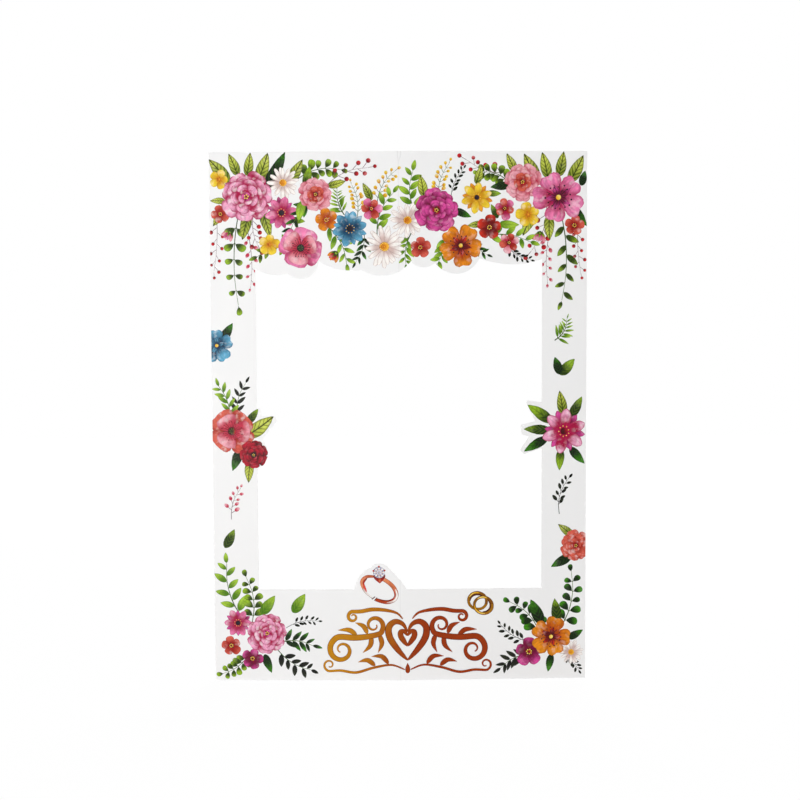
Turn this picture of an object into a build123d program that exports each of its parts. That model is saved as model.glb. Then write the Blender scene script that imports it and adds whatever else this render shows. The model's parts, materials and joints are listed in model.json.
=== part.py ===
"""Photo booth frame: one die-cut sheet of white card, film-faced, with a fold down the middle.

Upright, +Z up and the printed face towards -Y. The fold stands in the plane x = 0, and the two
halves lean a little back from it, as a card does that was stored folded. All sizes in millimetres.
"""
import os
from math import cos, hypot, radians, sin

from build123d import *

# Sheet, an A2 blank
sheet_width = 420.0
sheet_height = 594.0
card_thickness = 0.5
film_thickness = 0.05

# Window: the plain edges beside and below it
stile_width = 50.0
bottom_rail_height = 104.0

# Window top: depth of the rail at the two corners, then the cusps between the lobes from left to
# right, as (right of the fold, down from the top edge), and how far each lobe hangs below its chord
left_corner_drop = 127.5
right_corner_drop = 119.0
lobe_cusps = [(-124, 134), (-89, 121), (-42, 130.5), (13.5, 121.5), (40.5, 123), (90, 118)]
lobe_depths = [4.7, 12, 4.2, 10.8, 5.7, 14.6, 6.5]

# Lobed tabs that stand into the window from the stiles. Each point is (out from the stile,
# up from the tab's foot), and each corner of the outline is rounded, the tab's two roots included.
left_tab_foot = 240.0
left_tab = [(8, 6.5), (13, 18), (7, 36), (23, 55.5), (19.5, 61), (5, 60.5), (4.5, 68.5)]
left_tab_height = 70.0
left_tab_radii = [2, 10, 6, 2, 3, 4, 1, 2.5, 1]
right_tab_foot = 263.0
right_tab = [(20, -6.5), (25, -2), (14.5, 13.2), (22.8, 16), (23.8, 26.6), (7.2, 30.4), (18.8, 54.2)]
right_tab_height = 52.0
right_tab_radii = [1, 2, 3, 1, 3, 2.5, 1, 2, 1]

# Rounded bump on the window's lower edge, three arcs from left to right.
# Each point is (right of the fold, up from that edge).
bump_ends = [(-52, 0), (-34, 25), (-12, 23.5), (7.5, 0)]
bump_middles = [(-46.5, 14.5), (-22.5, 29.5), (-2.5, 13.5)]

# Fold: a pressed strip between the halves, with a round bead behind it that is the fold's axis
lean_angle = 1.5
crease_half_width = 0.45
crease_depth = 0.1
crease_clearance = 0.05
closed_gap = 0.24
bead_clearance = 0.1

axis_to_back = closed_gap / 2
bead_radius = hypot(crease_half_width, axis_to_back) - bead_clearance
half_width = sheet_width / 2
lean_depth = half_width * sin(radians(lean_angle))
fold_axis = (0, -lean_depth / 2, 0)

# Planes of the two halves, both through the fold's axis, with x along the card and y up
lean_cos = cos(radians(lean_angle))
lean_sin = sin(radians(lean_angle))
left_plane = Plane(origin=fold_axis, x_dir=(lean_cos, -lean_sin, 0), z_dir=(-lean_sin, -lean_cos, 0))
right_plane = Plane(origin=fold_axis, x_dir=(lean_cos, lean_sin, 0), z_dir=(lean_sin, -lean_cos, 0))

window_edge = half_width - stile_width
window_foot = bottom_rail_height
lobe_ends = [
    (-window_edge, sheet_height - left_corner_drop),
    *[(across, sheet_height - down) for across, down in lobe_cusps],
    (window_edge, sheet_height - right_corner_drop),
]


def above_window_foot(point):
    """Sketch point of a bump point that is given up from the window's lower edge."""
    return (point[0], window_foot + point[1])


with BuildSketch() as window:
    with BuildLine():
        for lobe_start, lobe_end, depth in zip(lobe_ends, lobe_ends[1:], lobe_depths):
            SagittaArc(lobe_start, lobe_end, -depth)
        FilletPolyline(
            (window_edge, window_foot),
            (window_edge, right_tab_foot),
            *[(window_edge - out, right_tab_foot + up) for out, up in right_tab],
            (window_edge, right_tab_foot + right_tab_height),
            lobe_ends[-1],
            radius=right_tab_radii,
        )
        FilletPolyline(
            (-window_edge, window_foot),
            (-window_edge, left_tab_foot),
            *[(-window_edge + out, left_tab_foot + up) for out, up in left_tab],
            (-window_edge, left_tab_foot + left_tab_height),
            lobe_ends[0],
            radius=left_tab_radii,
        )
        bump = [above_window_foot(point) for point in bump_ends]
        Line((-window_edge, window_foot), bump[0])
        for arc_start, middle, arc_end in zip(bump, bump_middles, bump[1:]):
            ThreePointArc(arc_start, above_window_foot(middle), arc_end)
        Line(bump[-1], (window_edge, window_foot))
    make_face()

with BuildSketch() as sheet:
    Rectangle(sheet_width, sheet_height, align=(Align.CENTER, Align.MIN))
    add(window.sketch, mode=Mode.SUBTRACT)


def keep_strip(start, end):
    """Keep the stretch of the current sketch between two distances from the fold."""
    with Locations((start, 0)):
        Rectangle(end - start, sheet_height, align=(Align.MIN, Align.MIN), mode=Mode.INTERSECT)


card_front = axis_to_back + card_thickness
crease_front = card_front - crease_depth
crease_end = crease_half_width - crease_clearance

with BuildPart() as left_card:
    with BuildSketch(left_plane.offset(axis_to_back)):
        add(sheet.sketch)
        keep_strip(-half_width, -crease_half_width)
    extrude(amount=card_thickness)

with BuildPart() as right_card:
    with BuildSketch(right_plane.offset(axis_to_back)):
        add(sheet.sketch)
        keep_strip(crease_half_width, half_width)
    extrude(amount=card_thickness)

with BuildPart() as left_film:
    with BuildSketch(left_plane.offset(card_front)):
        add(sheet.sketch)
        keep_strip(-half_width, -crease_half_width)
    extrude(amount=film_thickness)

with BuildPart() as right_film:
    with BuildSketch(right_plane.offset(card_front)):
        add(sheet.sketch)
        keep_strip(crease_half_width, half_width)
    extrude(amount=film_thickness)

# The pressed strip goes with the left half. The window cuts it in two, above and below.
with BuildPart() as crease:
    with BuildSketch(left_plane.offset(axis_to_back)):
        add(sheet.sketch)
        keep_strip(-crease_half_width, crease_end)
    extrude(amount=crease_front - axis_to_back)
    with BuildSketch(Plane.XY):
        with Locations(fold_axis):
            Circle(bead_radius)
    extrude(amount=sheet_height)
    with BuildSketch(left_plane.offset(-bead_radius)):
        add(window.sketch)
    extrude(amount=bead_radius + card_front, mode=Mode.SUBTRACT)

with BuildPart() as crease_film:
    with BuildSketch(left_plane.offset(crease_front)):
        add(sheet.sketch)
        keep_strip(-crease_half_width, crease_end)
    extrude(amount=film_thickness)

with BuildPart() as top_crease:
    add(crease.solids().sort_by(Axis.Z)[-1])

with BuildPart() as bottom_crease:
    add(crease.solids().sort_by(Axis.Z)[0])

with BuildPart() as top_crease_film:
    add(crease_film.solids().sort_by(Axis.Z)[-1])

with BuildPart() as bottom_crease_film:
    add(crease_film.solids().sort_by(Axis.Z)[0])

left_card.part.label = "left_card"
right_card.part.label = "right_card"
left_film.part.label = "left_film"
right_film.part.label = "right_film"
top_crease.part.label = "top_crease"
bottom_crease.part.label = "bottom_crease"
top_crease_film.part.label = "top_crease_film"
bottom_crease_film.part.label = "bottom_crease_film"

os.makedirs("parts", exist_ok=True)
export_step(left_card.part, "parts/left_card.step")
export_step(right_card.part, "parts/right_card.step")
export_step(left_film.part, "parts/left_film.step")
export_step(right_film.part, "parts/right_film.step")
export_step(top_crease.part, "parts/top_crease.step")
export_step(bottom_crease.part, "parts/bottom_crease.step")
export_step(top_crease_film.part, "parts/top_crease_film.step")
export_step(bottom_crease_film.part, "parts/bottom_crease_film.step")
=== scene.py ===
"""Looks of a photo booth frame: a folding sheet of printed card, held up in front of a face.

Metres, +Z up, the printed face towards -Y and the fold in the plane x = 0. Places and sizes in the
print are millimetres on the flat sheet: across from the fold and up from the bottom edge.
"""
from __future__ import annotations

import json
import logging
import math
from dataclasses import dataclass, field, fields
from enum import Enum

import bmesh
import bpy
import numpy as np
from bpy.types import ID, Material, Mesh, Node, NodeSocket as Socket, NodeTree, Object
from mathutils import Matrix, Vector, geometry, noise

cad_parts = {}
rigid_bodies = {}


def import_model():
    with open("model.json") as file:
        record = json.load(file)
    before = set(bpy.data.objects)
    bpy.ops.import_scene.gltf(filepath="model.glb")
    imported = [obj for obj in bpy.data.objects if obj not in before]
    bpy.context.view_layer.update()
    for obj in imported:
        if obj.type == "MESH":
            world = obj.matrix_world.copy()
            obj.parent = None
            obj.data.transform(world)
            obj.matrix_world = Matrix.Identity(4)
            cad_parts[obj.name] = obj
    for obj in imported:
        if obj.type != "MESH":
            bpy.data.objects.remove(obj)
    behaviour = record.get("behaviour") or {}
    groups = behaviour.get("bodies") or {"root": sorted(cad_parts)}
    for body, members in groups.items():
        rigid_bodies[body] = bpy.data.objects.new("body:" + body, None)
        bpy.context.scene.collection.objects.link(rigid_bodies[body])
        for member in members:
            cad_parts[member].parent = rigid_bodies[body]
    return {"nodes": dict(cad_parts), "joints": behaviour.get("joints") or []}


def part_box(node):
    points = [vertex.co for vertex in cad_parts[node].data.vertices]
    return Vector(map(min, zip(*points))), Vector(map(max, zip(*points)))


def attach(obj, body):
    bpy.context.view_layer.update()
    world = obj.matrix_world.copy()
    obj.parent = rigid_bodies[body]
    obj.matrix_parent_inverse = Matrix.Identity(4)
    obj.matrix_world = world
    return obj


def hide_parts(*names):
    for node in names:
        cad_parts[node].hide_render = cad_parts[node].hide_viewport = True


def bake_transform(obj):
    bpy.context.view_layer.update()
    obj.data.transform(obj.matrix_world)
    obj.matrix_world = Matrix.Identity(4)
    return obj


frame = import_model()

log = logging.getLogger("booth_frame")
MM = 0.001
SENSOR_WIDTH_MM = 36.0
FRONT_FACING = 0.99
WELD_DISTANCE = 1e-6
FULL_TURN = 360.0
SPIRAL_STEP = 30.0

Point = tuple[float, float]
Colour = tuple[float, float, float, float]
WHITE: Colour = (1.0, 1.0, 1.0, 1.0)


def colour(code: str) -> Colour:
    """Linear colour of a six-digit screen code.

    Args:
        code: Red, green and blue as hexadecimal digits.

    Returns:
        Linear red, green, blue and a full alpha.
    """
    shares = [int(code[start:start + 2], 16) / 255 for start in (0, 2, 4)]
    linear = [share / 12.92 if share <= 0.04045 else ((share + 0.055) / 1.055) ** 2.4 for share in shares]
    return (*linear, 1.0)


def set_out(name: str, data: ID) -> Object:
    """Put a new object in the scene.

    Args:
        name: The object's name.
        data: Its mesh, camera or light.

    Returns:
        The object.
    """
    thing = bpy.data.objects.new(name, data)
    bpy.context.scene.collection.objects.link(thing)
    return thing


class NodeBench:
    """Lays nodes in one tree and joins them, in shader and geometry trees alike."""

    def __init__(self, tree: NodeTree) -> None:
        """Work in one tree."""
        self.tree = tree

    def put(self, kind: str, inputs: dict | None = None, **settings) -> Node:
        """Add a node.

        Args:
            kind: The node's type name.
            inputs: Socket name or number to a constant or to another node's output.
            **settings: Properties of the node.

        Returns:
            The new node.
        """
        node = self.tree.nodes.new(kind)
        for name, value in settings.items():
            setattr(node, name, value)
        self.feed(node, inputs or {})
        return node

    def feed(self, node: Node, inputs: dict) -> None:
        """Set a node's inputs, or link those that are given another node's output."""
        for key, value in inputs.items():
            if isinstance(value, Socket):
                self.tree.links.new(value, node.inputs[key])
            else:
                node.inputs[key].default_value = value

    def math(self, operation: str, *values, clamp: bool = False) -> Socket:
        """Output of a Math node over the given values."""
        inputs = dict(enumerate(values))
        return self.put("ShaderNodeMath", inputs, operation=operation, use_clamp=clamp).outputs[0]

    def plus(self, first, second, clamp: bool = False) -> Socket:
        """Sum of two values."""
        return self.math("ADD", first, second, clamp=clamp)

    def minus(self, first, second, clamp: bool = False) -> Socket:
        """First value less the second."""
        return self.math("SUBTRACT", first, second, clamp=clamp)

    def times(self, first, second) -> Socket:
        """Product of two values."""
        return self.math("MULTIPLY", first, second)

    def times_plus(self, value, factor, added, clamp: bool = False) -> Socket:
        """A value times a factor, and something added."""
        return self.math("MULTIPLY_ADD", value, factor, added, clamp=clamp)

    def over(self, first, second) -> Socket:
        """First value divided by the second."""
        return self.math("DIVIDE", first, second)

    def vector(self, x=0.0, y=0.0, z=0.0) -> Socket:
        """Vector of three values."""
        return self.put("ShaderNodeCombineXYZ", {0: x, 1: y, 2: z}).outputs[0]

    def split(self, vector: Socket) -> list[Socket]:
        """The three values of a vector."""
        return list(self.put("ShaderNodeSeparateXYZ", {0: vector}).outputs)

    def vector_math(self, operation: str, first, second) -> Socket:
        """Output of a Vector Math node over two vectors."""
        return self.put("ShaderNodeVectorMath", {0: first, 1: second}, operation=operation).outputs[0]

    def scaled(self, vector: Socket, scale) -> Socket:
        """A vector times a number."""
        return self.put("ShaderNodeVectorMath", {0: vector, "Scale": scale}, operation="SCALE").outputs[0]

    def ease(self, value, start: float, end: float, low=0.0, high=1.0) -> Socket:
        """Smooth step of a value, from low at start to high at end."""
        sockets = {"Value": value, "From Min": start, "From Max": end, "To Min": low, "To Max": high}
        return self.put("ShaderNodeMapRange", sockets, interpolation_type="SMOOTHSTEP").outputs[0]

    def mix(self, factor, first, second, blend: str = "MIX") -> Socket:
        """Mix of two colours."""
        sockets = {0: factor, 6: first, 7: second}
        return self.put("ShaderNodeMix", sockets, data_type="RGBA", blend_type=blend).outputs[2]

    def dimmed(self, base, share) -> Socket:
        """A colour times a number."""
        return self.mix(1.0, base, self.vector(share, share, share), "MULTIPLY")

    def where(self) -> Socket:
        """Place in the object's own metres."""
        return self.put("ShaderNodeTexCoord").outputs["Object"]

    def noise(self, vector, scale: float, detail: float) -> Socket:
        """Value of a Noise Texture on a vector."""
        return self.put("ShaderNodeTexNoise", {"Vector": vector, "Scale": scale, "Detail": detail}).outputs[0]

    def swing(self, vector, scale: float, detail: float) -> Socket:
        """Noise about 0."""
        return self.minus(self.noise(vector, scale, detail), 0.5)

    def bump(self, height, strength: float, distance: float) -> Socket:
        """Normal of a surface with a height on it."""
        inputs = {"Height": height, "Strength": strength, "Distance": distance}
        return self.put("ShaderNodeBump", inputs).outputs[0]


def blade_half_width(bench: NodeBench, along, root, tip) -> Socket:
    """Half width of a petal or leaf at a place along it, as a share of its widest.

    Args:
        bench: The tree to work in.
        along: 0 at the root, 1 at the tip.
        root: How sharp the root is: 0.5 is round, 1 pointed.
        tip: How sharp the tip is, on the same scale.

    Returns:
        0 at the ends, 1 at the widest place.
    """
    widest = bench.over(root, bench.plus(root, tip))
    rise = bench.math("POWER", bench.over(along, widest), root)
    left = bench.minus(1.0, along, clamp=True)
    fall = bench.math("POWER", bench.over(left, bench.minus(1.0, widest)), tip)
    return bench.times(rise, fall)


class DrawingTool:
    """A Geometry Nodes tree that draws flat outlines, with named inputs for its sizes."""

    name = ""
    counts: tuple[str, ...] = ()
    measures: tuple[str, ...] = ()
    inks: tuple[str, ...] = ()
    turn_salt = 1
    size_salt = 2
    notch_run = (0.6, 1.0)
    path_steps = 16

    def __init__(self) -> None:
        """Build the tree."""
        self.tree = bpy.data.node_groups.new(self.name, "GeometryNodeTree")
        self.tree.interface.new_socket("Geometry", in_out="INPUT", socket_type="NodeSocketGeometry")
        for kind, names in (("Int", self.counts), ("Float", self.measures), ("Material", self.inks)):
            for name in names:
                self.tree.interface.new_socket(name, in_out="INPUT", socket_type=f"NodeSocket{kind}")
        self.tree.interface.new_socket("Geometry", in_out="OUTPUT", socket_type="NodeSocketGeometry")
        self.bench = NodeBench(self.tree)
        self.sizes = self.bench.put("NodeGroupInput").outputs
        self.bench.put("NodeGroupOutput", {0: self.draw()})

    def draw(self) -> Socket:
        """Lay the tree's nodes and return the geometry that it gives."""
        raise NotImplementedError

    def position(self) -> Socket:
        """Where each point is."""
        return self.bench.put("GeometryNodeInputPosition").outputs[0]

    def index(self) -> Socket:
        """Number of each point."""
        return self.bench.put("GeometryNodeInputIndex").outputs[0]

    def chance(self, low, high, salt: int) -> Socket:
        """Random number for each point, from the tree's seed.

        Args:
            low: Lowest value.
            high: Highest value.
            salt: Keeps the tree's draws apart.

        Returns:
            The number.
        """
        seed = self.bench.plus(self.sizes["Seed"], salt)
        inputs = {2: low, 3: high, "ID": self.index(), "Seed": seed}
        return self.bench.put("FunctionNodeRandomValue", inputs, data_type="FLOAT").outputs[1]

    def stray(self) -> Socket:
        """Random turn for each point, as far as the tree's Wander."""
        wander = self.sizes["Wander"]
        return self.chance(self.bench.times(wander, -1.0), wander, self.turn_salt)

    def uneven(self) -> Socket:
        """Random size for each point, off 1 by as much as the tree's Unevenness."""
        bench, spread = self.bench, self.sizes["Unevenness"]
        return self.chance(bench.minus(1.0, spread), bench.plus(1.0, spread), self.size_salt)

    def store(self, shape, name: str, value, kind: str = "FLOAT_VECTOR") -> Socket:
        """Keep a value on the points of a shape under a name."""
        inputs = {"Geometry": shape, "Name": name, "Value": value}
        kept = self.bench.put("GeometryNodeStoreNamedAttribute", inputs, data_type=kind, domain="POINT")
        return kept.outputs[0]

    def remember(self, shape, along, across, root=0.0, tip=0.0) -> Socket:
        """Keep each point's place in its stroke, and how sharp the stroke's ends are."""
        kept = self.store(shape, "wash", self.bench.vector(along, across))
        return self.store(kept, "shape", self.bench.vector(root, tip))

    def move(self, shape, place=None, offset=None) -> Socket:
        """Put the points of a shape at a place, or shift them."""
        inputs = {"Geometry": shape}
        if place is not None:
            inputs["Position"] = place
        if offset is not None:
            inputs["Offset"] = offset
        return self.bench.put("GeometryNodeSetPosition", inputs).outputs[0]

    def join(self, *shapes) -> Socket:
        """Several shapes as one."""
        whole = self.bench.put("GeometryNodeJoinGeometry")
        for shape in shapes:
            self.tree.links.new(shape, whole.inputs[0])
        return whole.outputs[0]

    def points(self, count) -> Socket:
        """So many points, all at the origin."""
        return self.bench.put("GeometryNodePoints", {"Count": count}).outputs[0]

    def instances(self, points, shape, turn, scale) -> Socket:
        """A shape at each point, turned and scaled there."""
        inputs = {"Points": points, "Instance": shape, "Rotation": self.bench.vector(z=turn), "Scale": scale}
        return self.bench.put("GeometryNodeInstanceOnPoints", inputs).outputs[0]

    def disc(self, corners) -> tuple[Socket, Socket, Socket]:
        """A round face to bend into shape.

        Args:
            corners: Points of its outline.

        Returns:
            The face, how far along it each point lies, and on which side.
        """
        inputs = {"Vertices": corners, "Radius": 1.0}
        face = self.bench.put("GeometryNodeMeshCircle", inputs, fill_type="NGON").outputs[0]
        x, y, _ = self.bench.split(self.position())
        return face, self.bench.times_plus(x, 0.5, 0.5, clamp=True), self.bench.math("SIGN", y)

    def blade(self, corners, length, width, root, tip, notch=0.0, bend=0.0, start=0.0) -> Socket:
        """Outline of one petal or leaf along +X, which remembers its own along and across.

        Args:
            corners: Points of the outline.
            length: From root to tip.
            width: At the widest place.
            root: Sharpness of the root.
            tip: Sharpness of the tip.
            notch: Depth of the notch in the tip, as a share of the length.
            bend: How far the tip leans aside, as a share of the length.
            start: Where the root stands on the X axis.

        Returns:
            The outline as one face.
        """
        bench = self.bench
        face, along, side = self.disc(corners)
        across = bench.times(side, blade_half_width(bench, along, root, tip))
        kept = self.remember(face, along, across, root, tip)
        middle = bench.minus(1.0, bench.times(bench.math("ABSOLUTE", across), 2.0), clamp=True)
        cut = bench.times(bench.times(middle, notch), bench.ease(along, *self.notch_run))
        run = bench.times_plus(bench.minus(along, cut), length, start)
        lean = bench.times(bench.times(along, along), bench.times(length, bend))
        aside = bench.times_plus(across, bench.times(width, 0.5), lean)
        return self.move(kept, place=bench.vector(run, aside))

    def path(self) -> Socket:
        """Smooth curve through the points of the mesh that carries the tree."""
        bench = self.bench
        line = bench.put("GeometryNodeMeshToCurve", {0: self.sizes["Geometry"]}).outputs[0]
        smooth = bench.put("GeometryNodeCurveSplineType", {0: line}, spline_type="CATMULL_ROM").outputs[0]
        inputs = {"Geometry": smooth, "Resolution": self.path_steps}
        return bench.put("GeometryNodeSetSplineResolution", inputs).outputs[0]

    def follow(self, path, share, aside) -> tuple[Socket, Socket]:
        """A place beside a path.

        Args:
            path: The curve.
            share: How far along it, from 0 to 1.
            aside: Distance to the left of it.

        Returns:
            The place, and the path's direction there.
        """
        bench = self.bench
        inputs = {"Curves": path, "Factor": share}
        sample = bench.put("GeometryNodeSampleCurve", inputs, mode="FACTOR", use_all_curves=True).outputs
        x, y, _ = bench.split(sample["Tangent"])
        sideways = bench.vector(bench.times(y, -1.0), x)
        place = bench.vector_math("ADD", sample["Position"], bench.scaled(sideways, aside))
        return place, sample["Tangent"]

    def realize(self, shape) -> Socket:
        """Turn instances into plain geometry."""
        return self.bench.put("GeometryNodeRealizeInstances", {0: shape}).outputs[0]

    def ink(self, shape, ink, only=None) -> Socket:
        """Give a shape its ink, or only the marked points of it."""
        inputs = {"Geometry": shape, "Material": ink}
        if only is not None:
            inputs["Selection"] = only
        return self.bench.put("GeometryNodeSetMaterial", inputs).outputs[0]

    def run(self, points: list[Point], sizes: dict) -> Mesh:
        """Draw once.

        Args:
            points: The path that the drawing follows, or nothing.
            sizes: Value of each named input. One that isn't named is 0.

        Returns:
            The outlines as the faces of a plain mesh.
        """
        line = bpy.data.meshes.new(self.name)
        steps = [(step, step + 1) for step in range(len(points) - 1)]
        line.from_pydata([(x, y, 0.0) for x, y in points], steps, [])
        carrier = set_out(self.name, line)
        modifier = carrier.modifiers.new(self.name, "NODES")
        modifier.node_group = self.tree
        for item in self.tree.interface.items_tree:
            if item.in_out == "INPUT" and item.name in sizes:
                modifier[item.identifier] = sizes[item.name]
        graph = bpy.context.evaluated_depsgraph_get()
        drawing = bpy.data.meshes.new_from_object(carrier.evaluated_get(graph), depsgraph=graph)
        carrier.modifiers.remove(modifier)
        bpy.data.objects.remove(carrier)
        return drawing


class PetalRing(DrawingTool):
    """Petals, stamens or dots round a centre, or in a fan."""

    name = "petal_ring"
    counts = ("Petals", "Seed", "Corners")
    measures = (
        "Length", "Width", "Start", "Root", "Tip", "Notch", "Bend", "Ruffle", "Spin", "Step", "Wander",
        "Unevenness",
    )
    inks = ("Ink",)
    wave_scale = 0.32
    wave_middle = (0.5, 0.5, 0.5)
    wave_apart = 7.3
    in_plane = (1.0, 1.0, 0.0)

    def draw(self) -> Socket:
        """Instance one petal round the centre and ruffle what comes of it."""
        bench, size = self.bench, self.sizes
        petal = self.blade(
            size["Corners"], size["Length"], size["Width"], size["Root"], size["Tip"],
            size["Notch"], size["Bend"], size["Start"],
        )
        turn = bench.plus(bench.times_plus(self.index(), size["Step"], size["Spin"]), self.stray())
        scale = self.uneven()
        ring = self.instances(self.points(size["Petals"]), petal, turn, bench.vector(scale, scale, scale))
        apart = bench.vector(z=bench.times(size["Seed"], self.wave_apart))
        spot = bench.vector_math("ADD", self.position(), apart)
        waves = bench.put("ShaderNodeTexNoise", {"Vector": spot, "Scale": self.wave_scale}).outputs[1]
        sway = bench.vector_math("SUBTRACT", waves, self.wave_middle)
        sway = bench.vector_math("MULTIPLY", sway, self.in_plane)
        ruffled = self.move(self.realize(ring), offset=bench.scaled(sway, size["Ruffle"]))
        return self.ink(ruffled, size["Ink"])


class LeafySprig(DrawingTool):
    """Leaves, berries or small blossoms on stalks along a stem."""

    name = "leafy_sprig"
    counts = ("Leaves", "Pair", "Seed")
    measures = (
        "Bare", "Length", "Width", "Root", "Tip", "Bend", "Stalk", "Splay", "Wander", "Unevenness",
        "Last Size", "Stem Width",
    )
    inks = ("Leaf Ink", "Stem Ink")
    stem_corners = 28
    stem_taper = (0.6, 0.25)
    leaf_corners = 24
    stalk_corners = 8
    stalk_reach = 1.1
    stalk_ends = (0.1, 0.1)

    def wooden(self, shape) -> Socket:
        """Mark a shape as stem."""
        return self.store(shape, "wood", True, "BOOLEAN")

    def draw(self) -> Socket:
        """Draw the stem along the path, then a leaf at each place on it."""
        bench, size = self.bench, self.sizes
        path = self.path()
        face, run, side = self.disc(self.stem_corners)
        taper = bench.times(size["Stem Width"], bench.ease(run, 0.0, 1.0, *self.stem_taper))
        place, _ = self.follow(path, run, bench.times(side, taper))
        stem = self.wooden(self.move(self.remember(face, run, side), place=place))

        leaf = self.blade(
            self.leaf_corners, size["Length"], size["Width"], size["Root"], size["Tip"],
            bend=size["Bend"], start=size["Stalk"],
        )
        reach = bench.times(size["Stalk"], self.stalk_reach)
        stalk = self.wooden(self.blade(self.stalk_corners, reach, size["Stem Width"], *self.stalk_ends))

        number = self.index()
        final = bench.minus(size["Leaves"], 1)
        step = bench.math("FLOOR", bench.over(number, size["Pair"]))
        last = bench.math("FLOOR", bench.over(final, size["Pair"]))
        share = bench.over(step, bench.math("MAXIMUM", last, 1.0))
        open_run = bench.minus(1.0, size["Bare"])
        place, direction = self.follow(path, bench.times_plus(share, open_run, size["Bare"]), 0.0)
        heading_x, heading_y, _ = bench.split(direction)
        heading = bench.math("ARCTAN2", heading_y, heading_x)
        hand = bench.times_plus(bench.math("MODULO", number, 2.0), 2.0, -1.0)
        splay = bench.times(bench.times(size["Splay"], hand), bench.math("LESS_THAN", number, final))
        turn = bench.plus(heading, bench.plus(splay, self.stray()))
        shrink = bench.times_plus(share, bench.minus(size["Last Size"], 1.0), 1.0)
        scale = bench.times(shrink, self.uneven())
        leaves = self.instances(
            self.move(self.points(size["Leaves"]), place=place), self.join(leaf, stalk), turn,
            bench.vector(scale, bench.times(scale, hand), scale),
        )
        green = self.ink(self.realize(self.join(leaves, stem)), size["Leaf Ink"])
        wood = bench.put("GeometryNodeInputNamedAttribute", {"Name": "wood"}, data_type="BOOLEAN").outputs[0]
        return self.ink(green, size["Stem Ink"], only=wood)


class PenLine(DrawingTool):
    """A pen stroke along a path, thin at its ends and swelling between them."""

    name = "pen_line"
    counts = ("Steps",)
    measures = ("Hair", "Swell", "Root", "Tip")
    inks = ("Ink",)

    def draw(self) -> Socket:
        """Lay a strip of faces along the path."""
        bench, size = self.bench, self.sizes
        grid = {"Size X": 1.0, "Size Y": 2.0, "Vertices X": size["Steps"], "Vertices Y": 2}
        strip = bench.put("GeometryNodeMeshGrid", grid).outputs[0]
        x, across, _ = bench.split(self.position())
        along = bench.plus(x, 0.5, clamp=True)
        swell = blade_half_width(bench, along, size["Root"], size["Tip"])
        half = bench.times_plus(swell, bench.times(size["Swell"], 0.5), bench.times(size["Hair"], 0.5))
        place, _ = self.follow(self.path(), along, bench.times(across, half))
        line = self.move(self.remember(strip, along, across), place=place)
        return self.ink(self.realize(line), size["Ink"])


@dataclass(frozen=True)
class Wash:
    """One printed colour: a wash that runs from the root of a stroke to its tip."""

    root: str
    tip: str
    edge: str
    start: float = 0.05
    end: float = 0.95
    streaks: float = 0.5
    bloom: float = 0.45
    rim: float = 0.55
    veins: float = 0.0
    paper: float = 0.3


class Ink(Enum):
    """The colours of the print."""

    BLUSH = Wash("be2a44", "eba6b2", "b02e4a", 0.3, 1.0)
    PEONY = Wash("a60c40", "eaa2c2", "aa1850", 0.42, 0.92, streaks=0.9, rim=0.85, paper=0.5)
    ROSE = Wash("a20c3a", "e87eae", "b01e56", 0.1, 1.0, streaks=0.9, paper=0.35)
    MAGENTA = Wash("6c0630", "d64a98", "7a0a42", 0.3, 1.0, streaks=0.9, rim=0.7, paper=0.12)
    CORAL = Wash("98160e", "d65e4c", "9e241a", 0.15, 1.0, streaks=0.8, paper=0.4)
    CRIMSON = Wash("43040c", "b8142e", "5c0614", 0.35, 1.05, streaks=0.8, paper=0.06)
    ORANGE = Wash("ae3e04", "e48c18", "a04a08", 0.1, 1.0, streaks=0.9, paper=0.2)
    POPPY = Wash("64070a", "d43420", "7c0f0c", 0.15, 1.0, streaks=0.8, paper=0.2)
    SKY = Wash("08395a", "62aacb", "145676", 0.1, 1.0, streaks=0.9, paper=0.35)
    PALE = Wash("d3b7b0", "fbf6f1", "b5958f", 0.1, 0.8, streaks=0.25, bloom=0.3, rim=0.8)
    SUNNY = Wash("cc8806", "f0d034", "b8800c")
    LIME = Wash("5c7010", "cad352", "1e2604", 0.05, 0.85, streaks=0.6, rim=0.8, veins=0.95, paper=0.1)
    FRESH = Wash("4a7a0a", "acd03c", "35580a", 0.1, 0.95, streaks=0.6, veins=0.3, paper=0.06)
    GREEN = Wash("1e3200", "96bc28", "1e3402", 0.32, 1.0, streaks=0.7, veins=0.35, paper=0.04)
    DEEP = Wash("051400", "428e12", "051400", 0.42, 1.1, streaks=0.7, veins=0.35, paper=0.04)
    TWIG = Wash("0b0c08", "24281a", "070805", streaks=0.2, paper=0.0)
    STEM = Wash("603644", "864d5e", "50293a", streaks=0.2, paper=0.0)
    STALK = Wash("2c4a16", "5c7c2c", "213a10", streaks=0.2, paper=0.0)
    DARK = Wash("0d0a10", "2d1f2c", "08050a", streaks=0.3, paper=0.0)
    POLLEN = Wash("eeb01e", "fbe074", "c9860e", streaks=0.2, paper=0.0)
    AMBER = Wash("b65206", "eea528", "984506", streaks=0.3, paper=0.0)
    BERRY = Wash("7a0812", "d0242a", "680610", streaks=0.1, bloom=0.2, paper=0.15)
    STONE = Wash("5c5c8c", "e6e6f4", "45456e", streaks=0.3)
    GOLD = Wash("c28204", "983400", "5e3404", streaks=0.4, bloom=0.2, rim=0.95, paper=0.0)
    COPPER = Wash("983400", "983400", "3c0c00")
    BRASS = Wash("7e4a06", "a06a10", "281402", streaks=1.1, rim=0.9, paper=0.0)
    UMBER = Wash("481a02", "602a06", "2a0c00", streaks=0.2, paper=0.0)
    ROSE_GOLD = Wash("b03a12", "dc8456", "6a1404", streaks=0.9, rim=0.9, paper=0.15)


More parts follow.
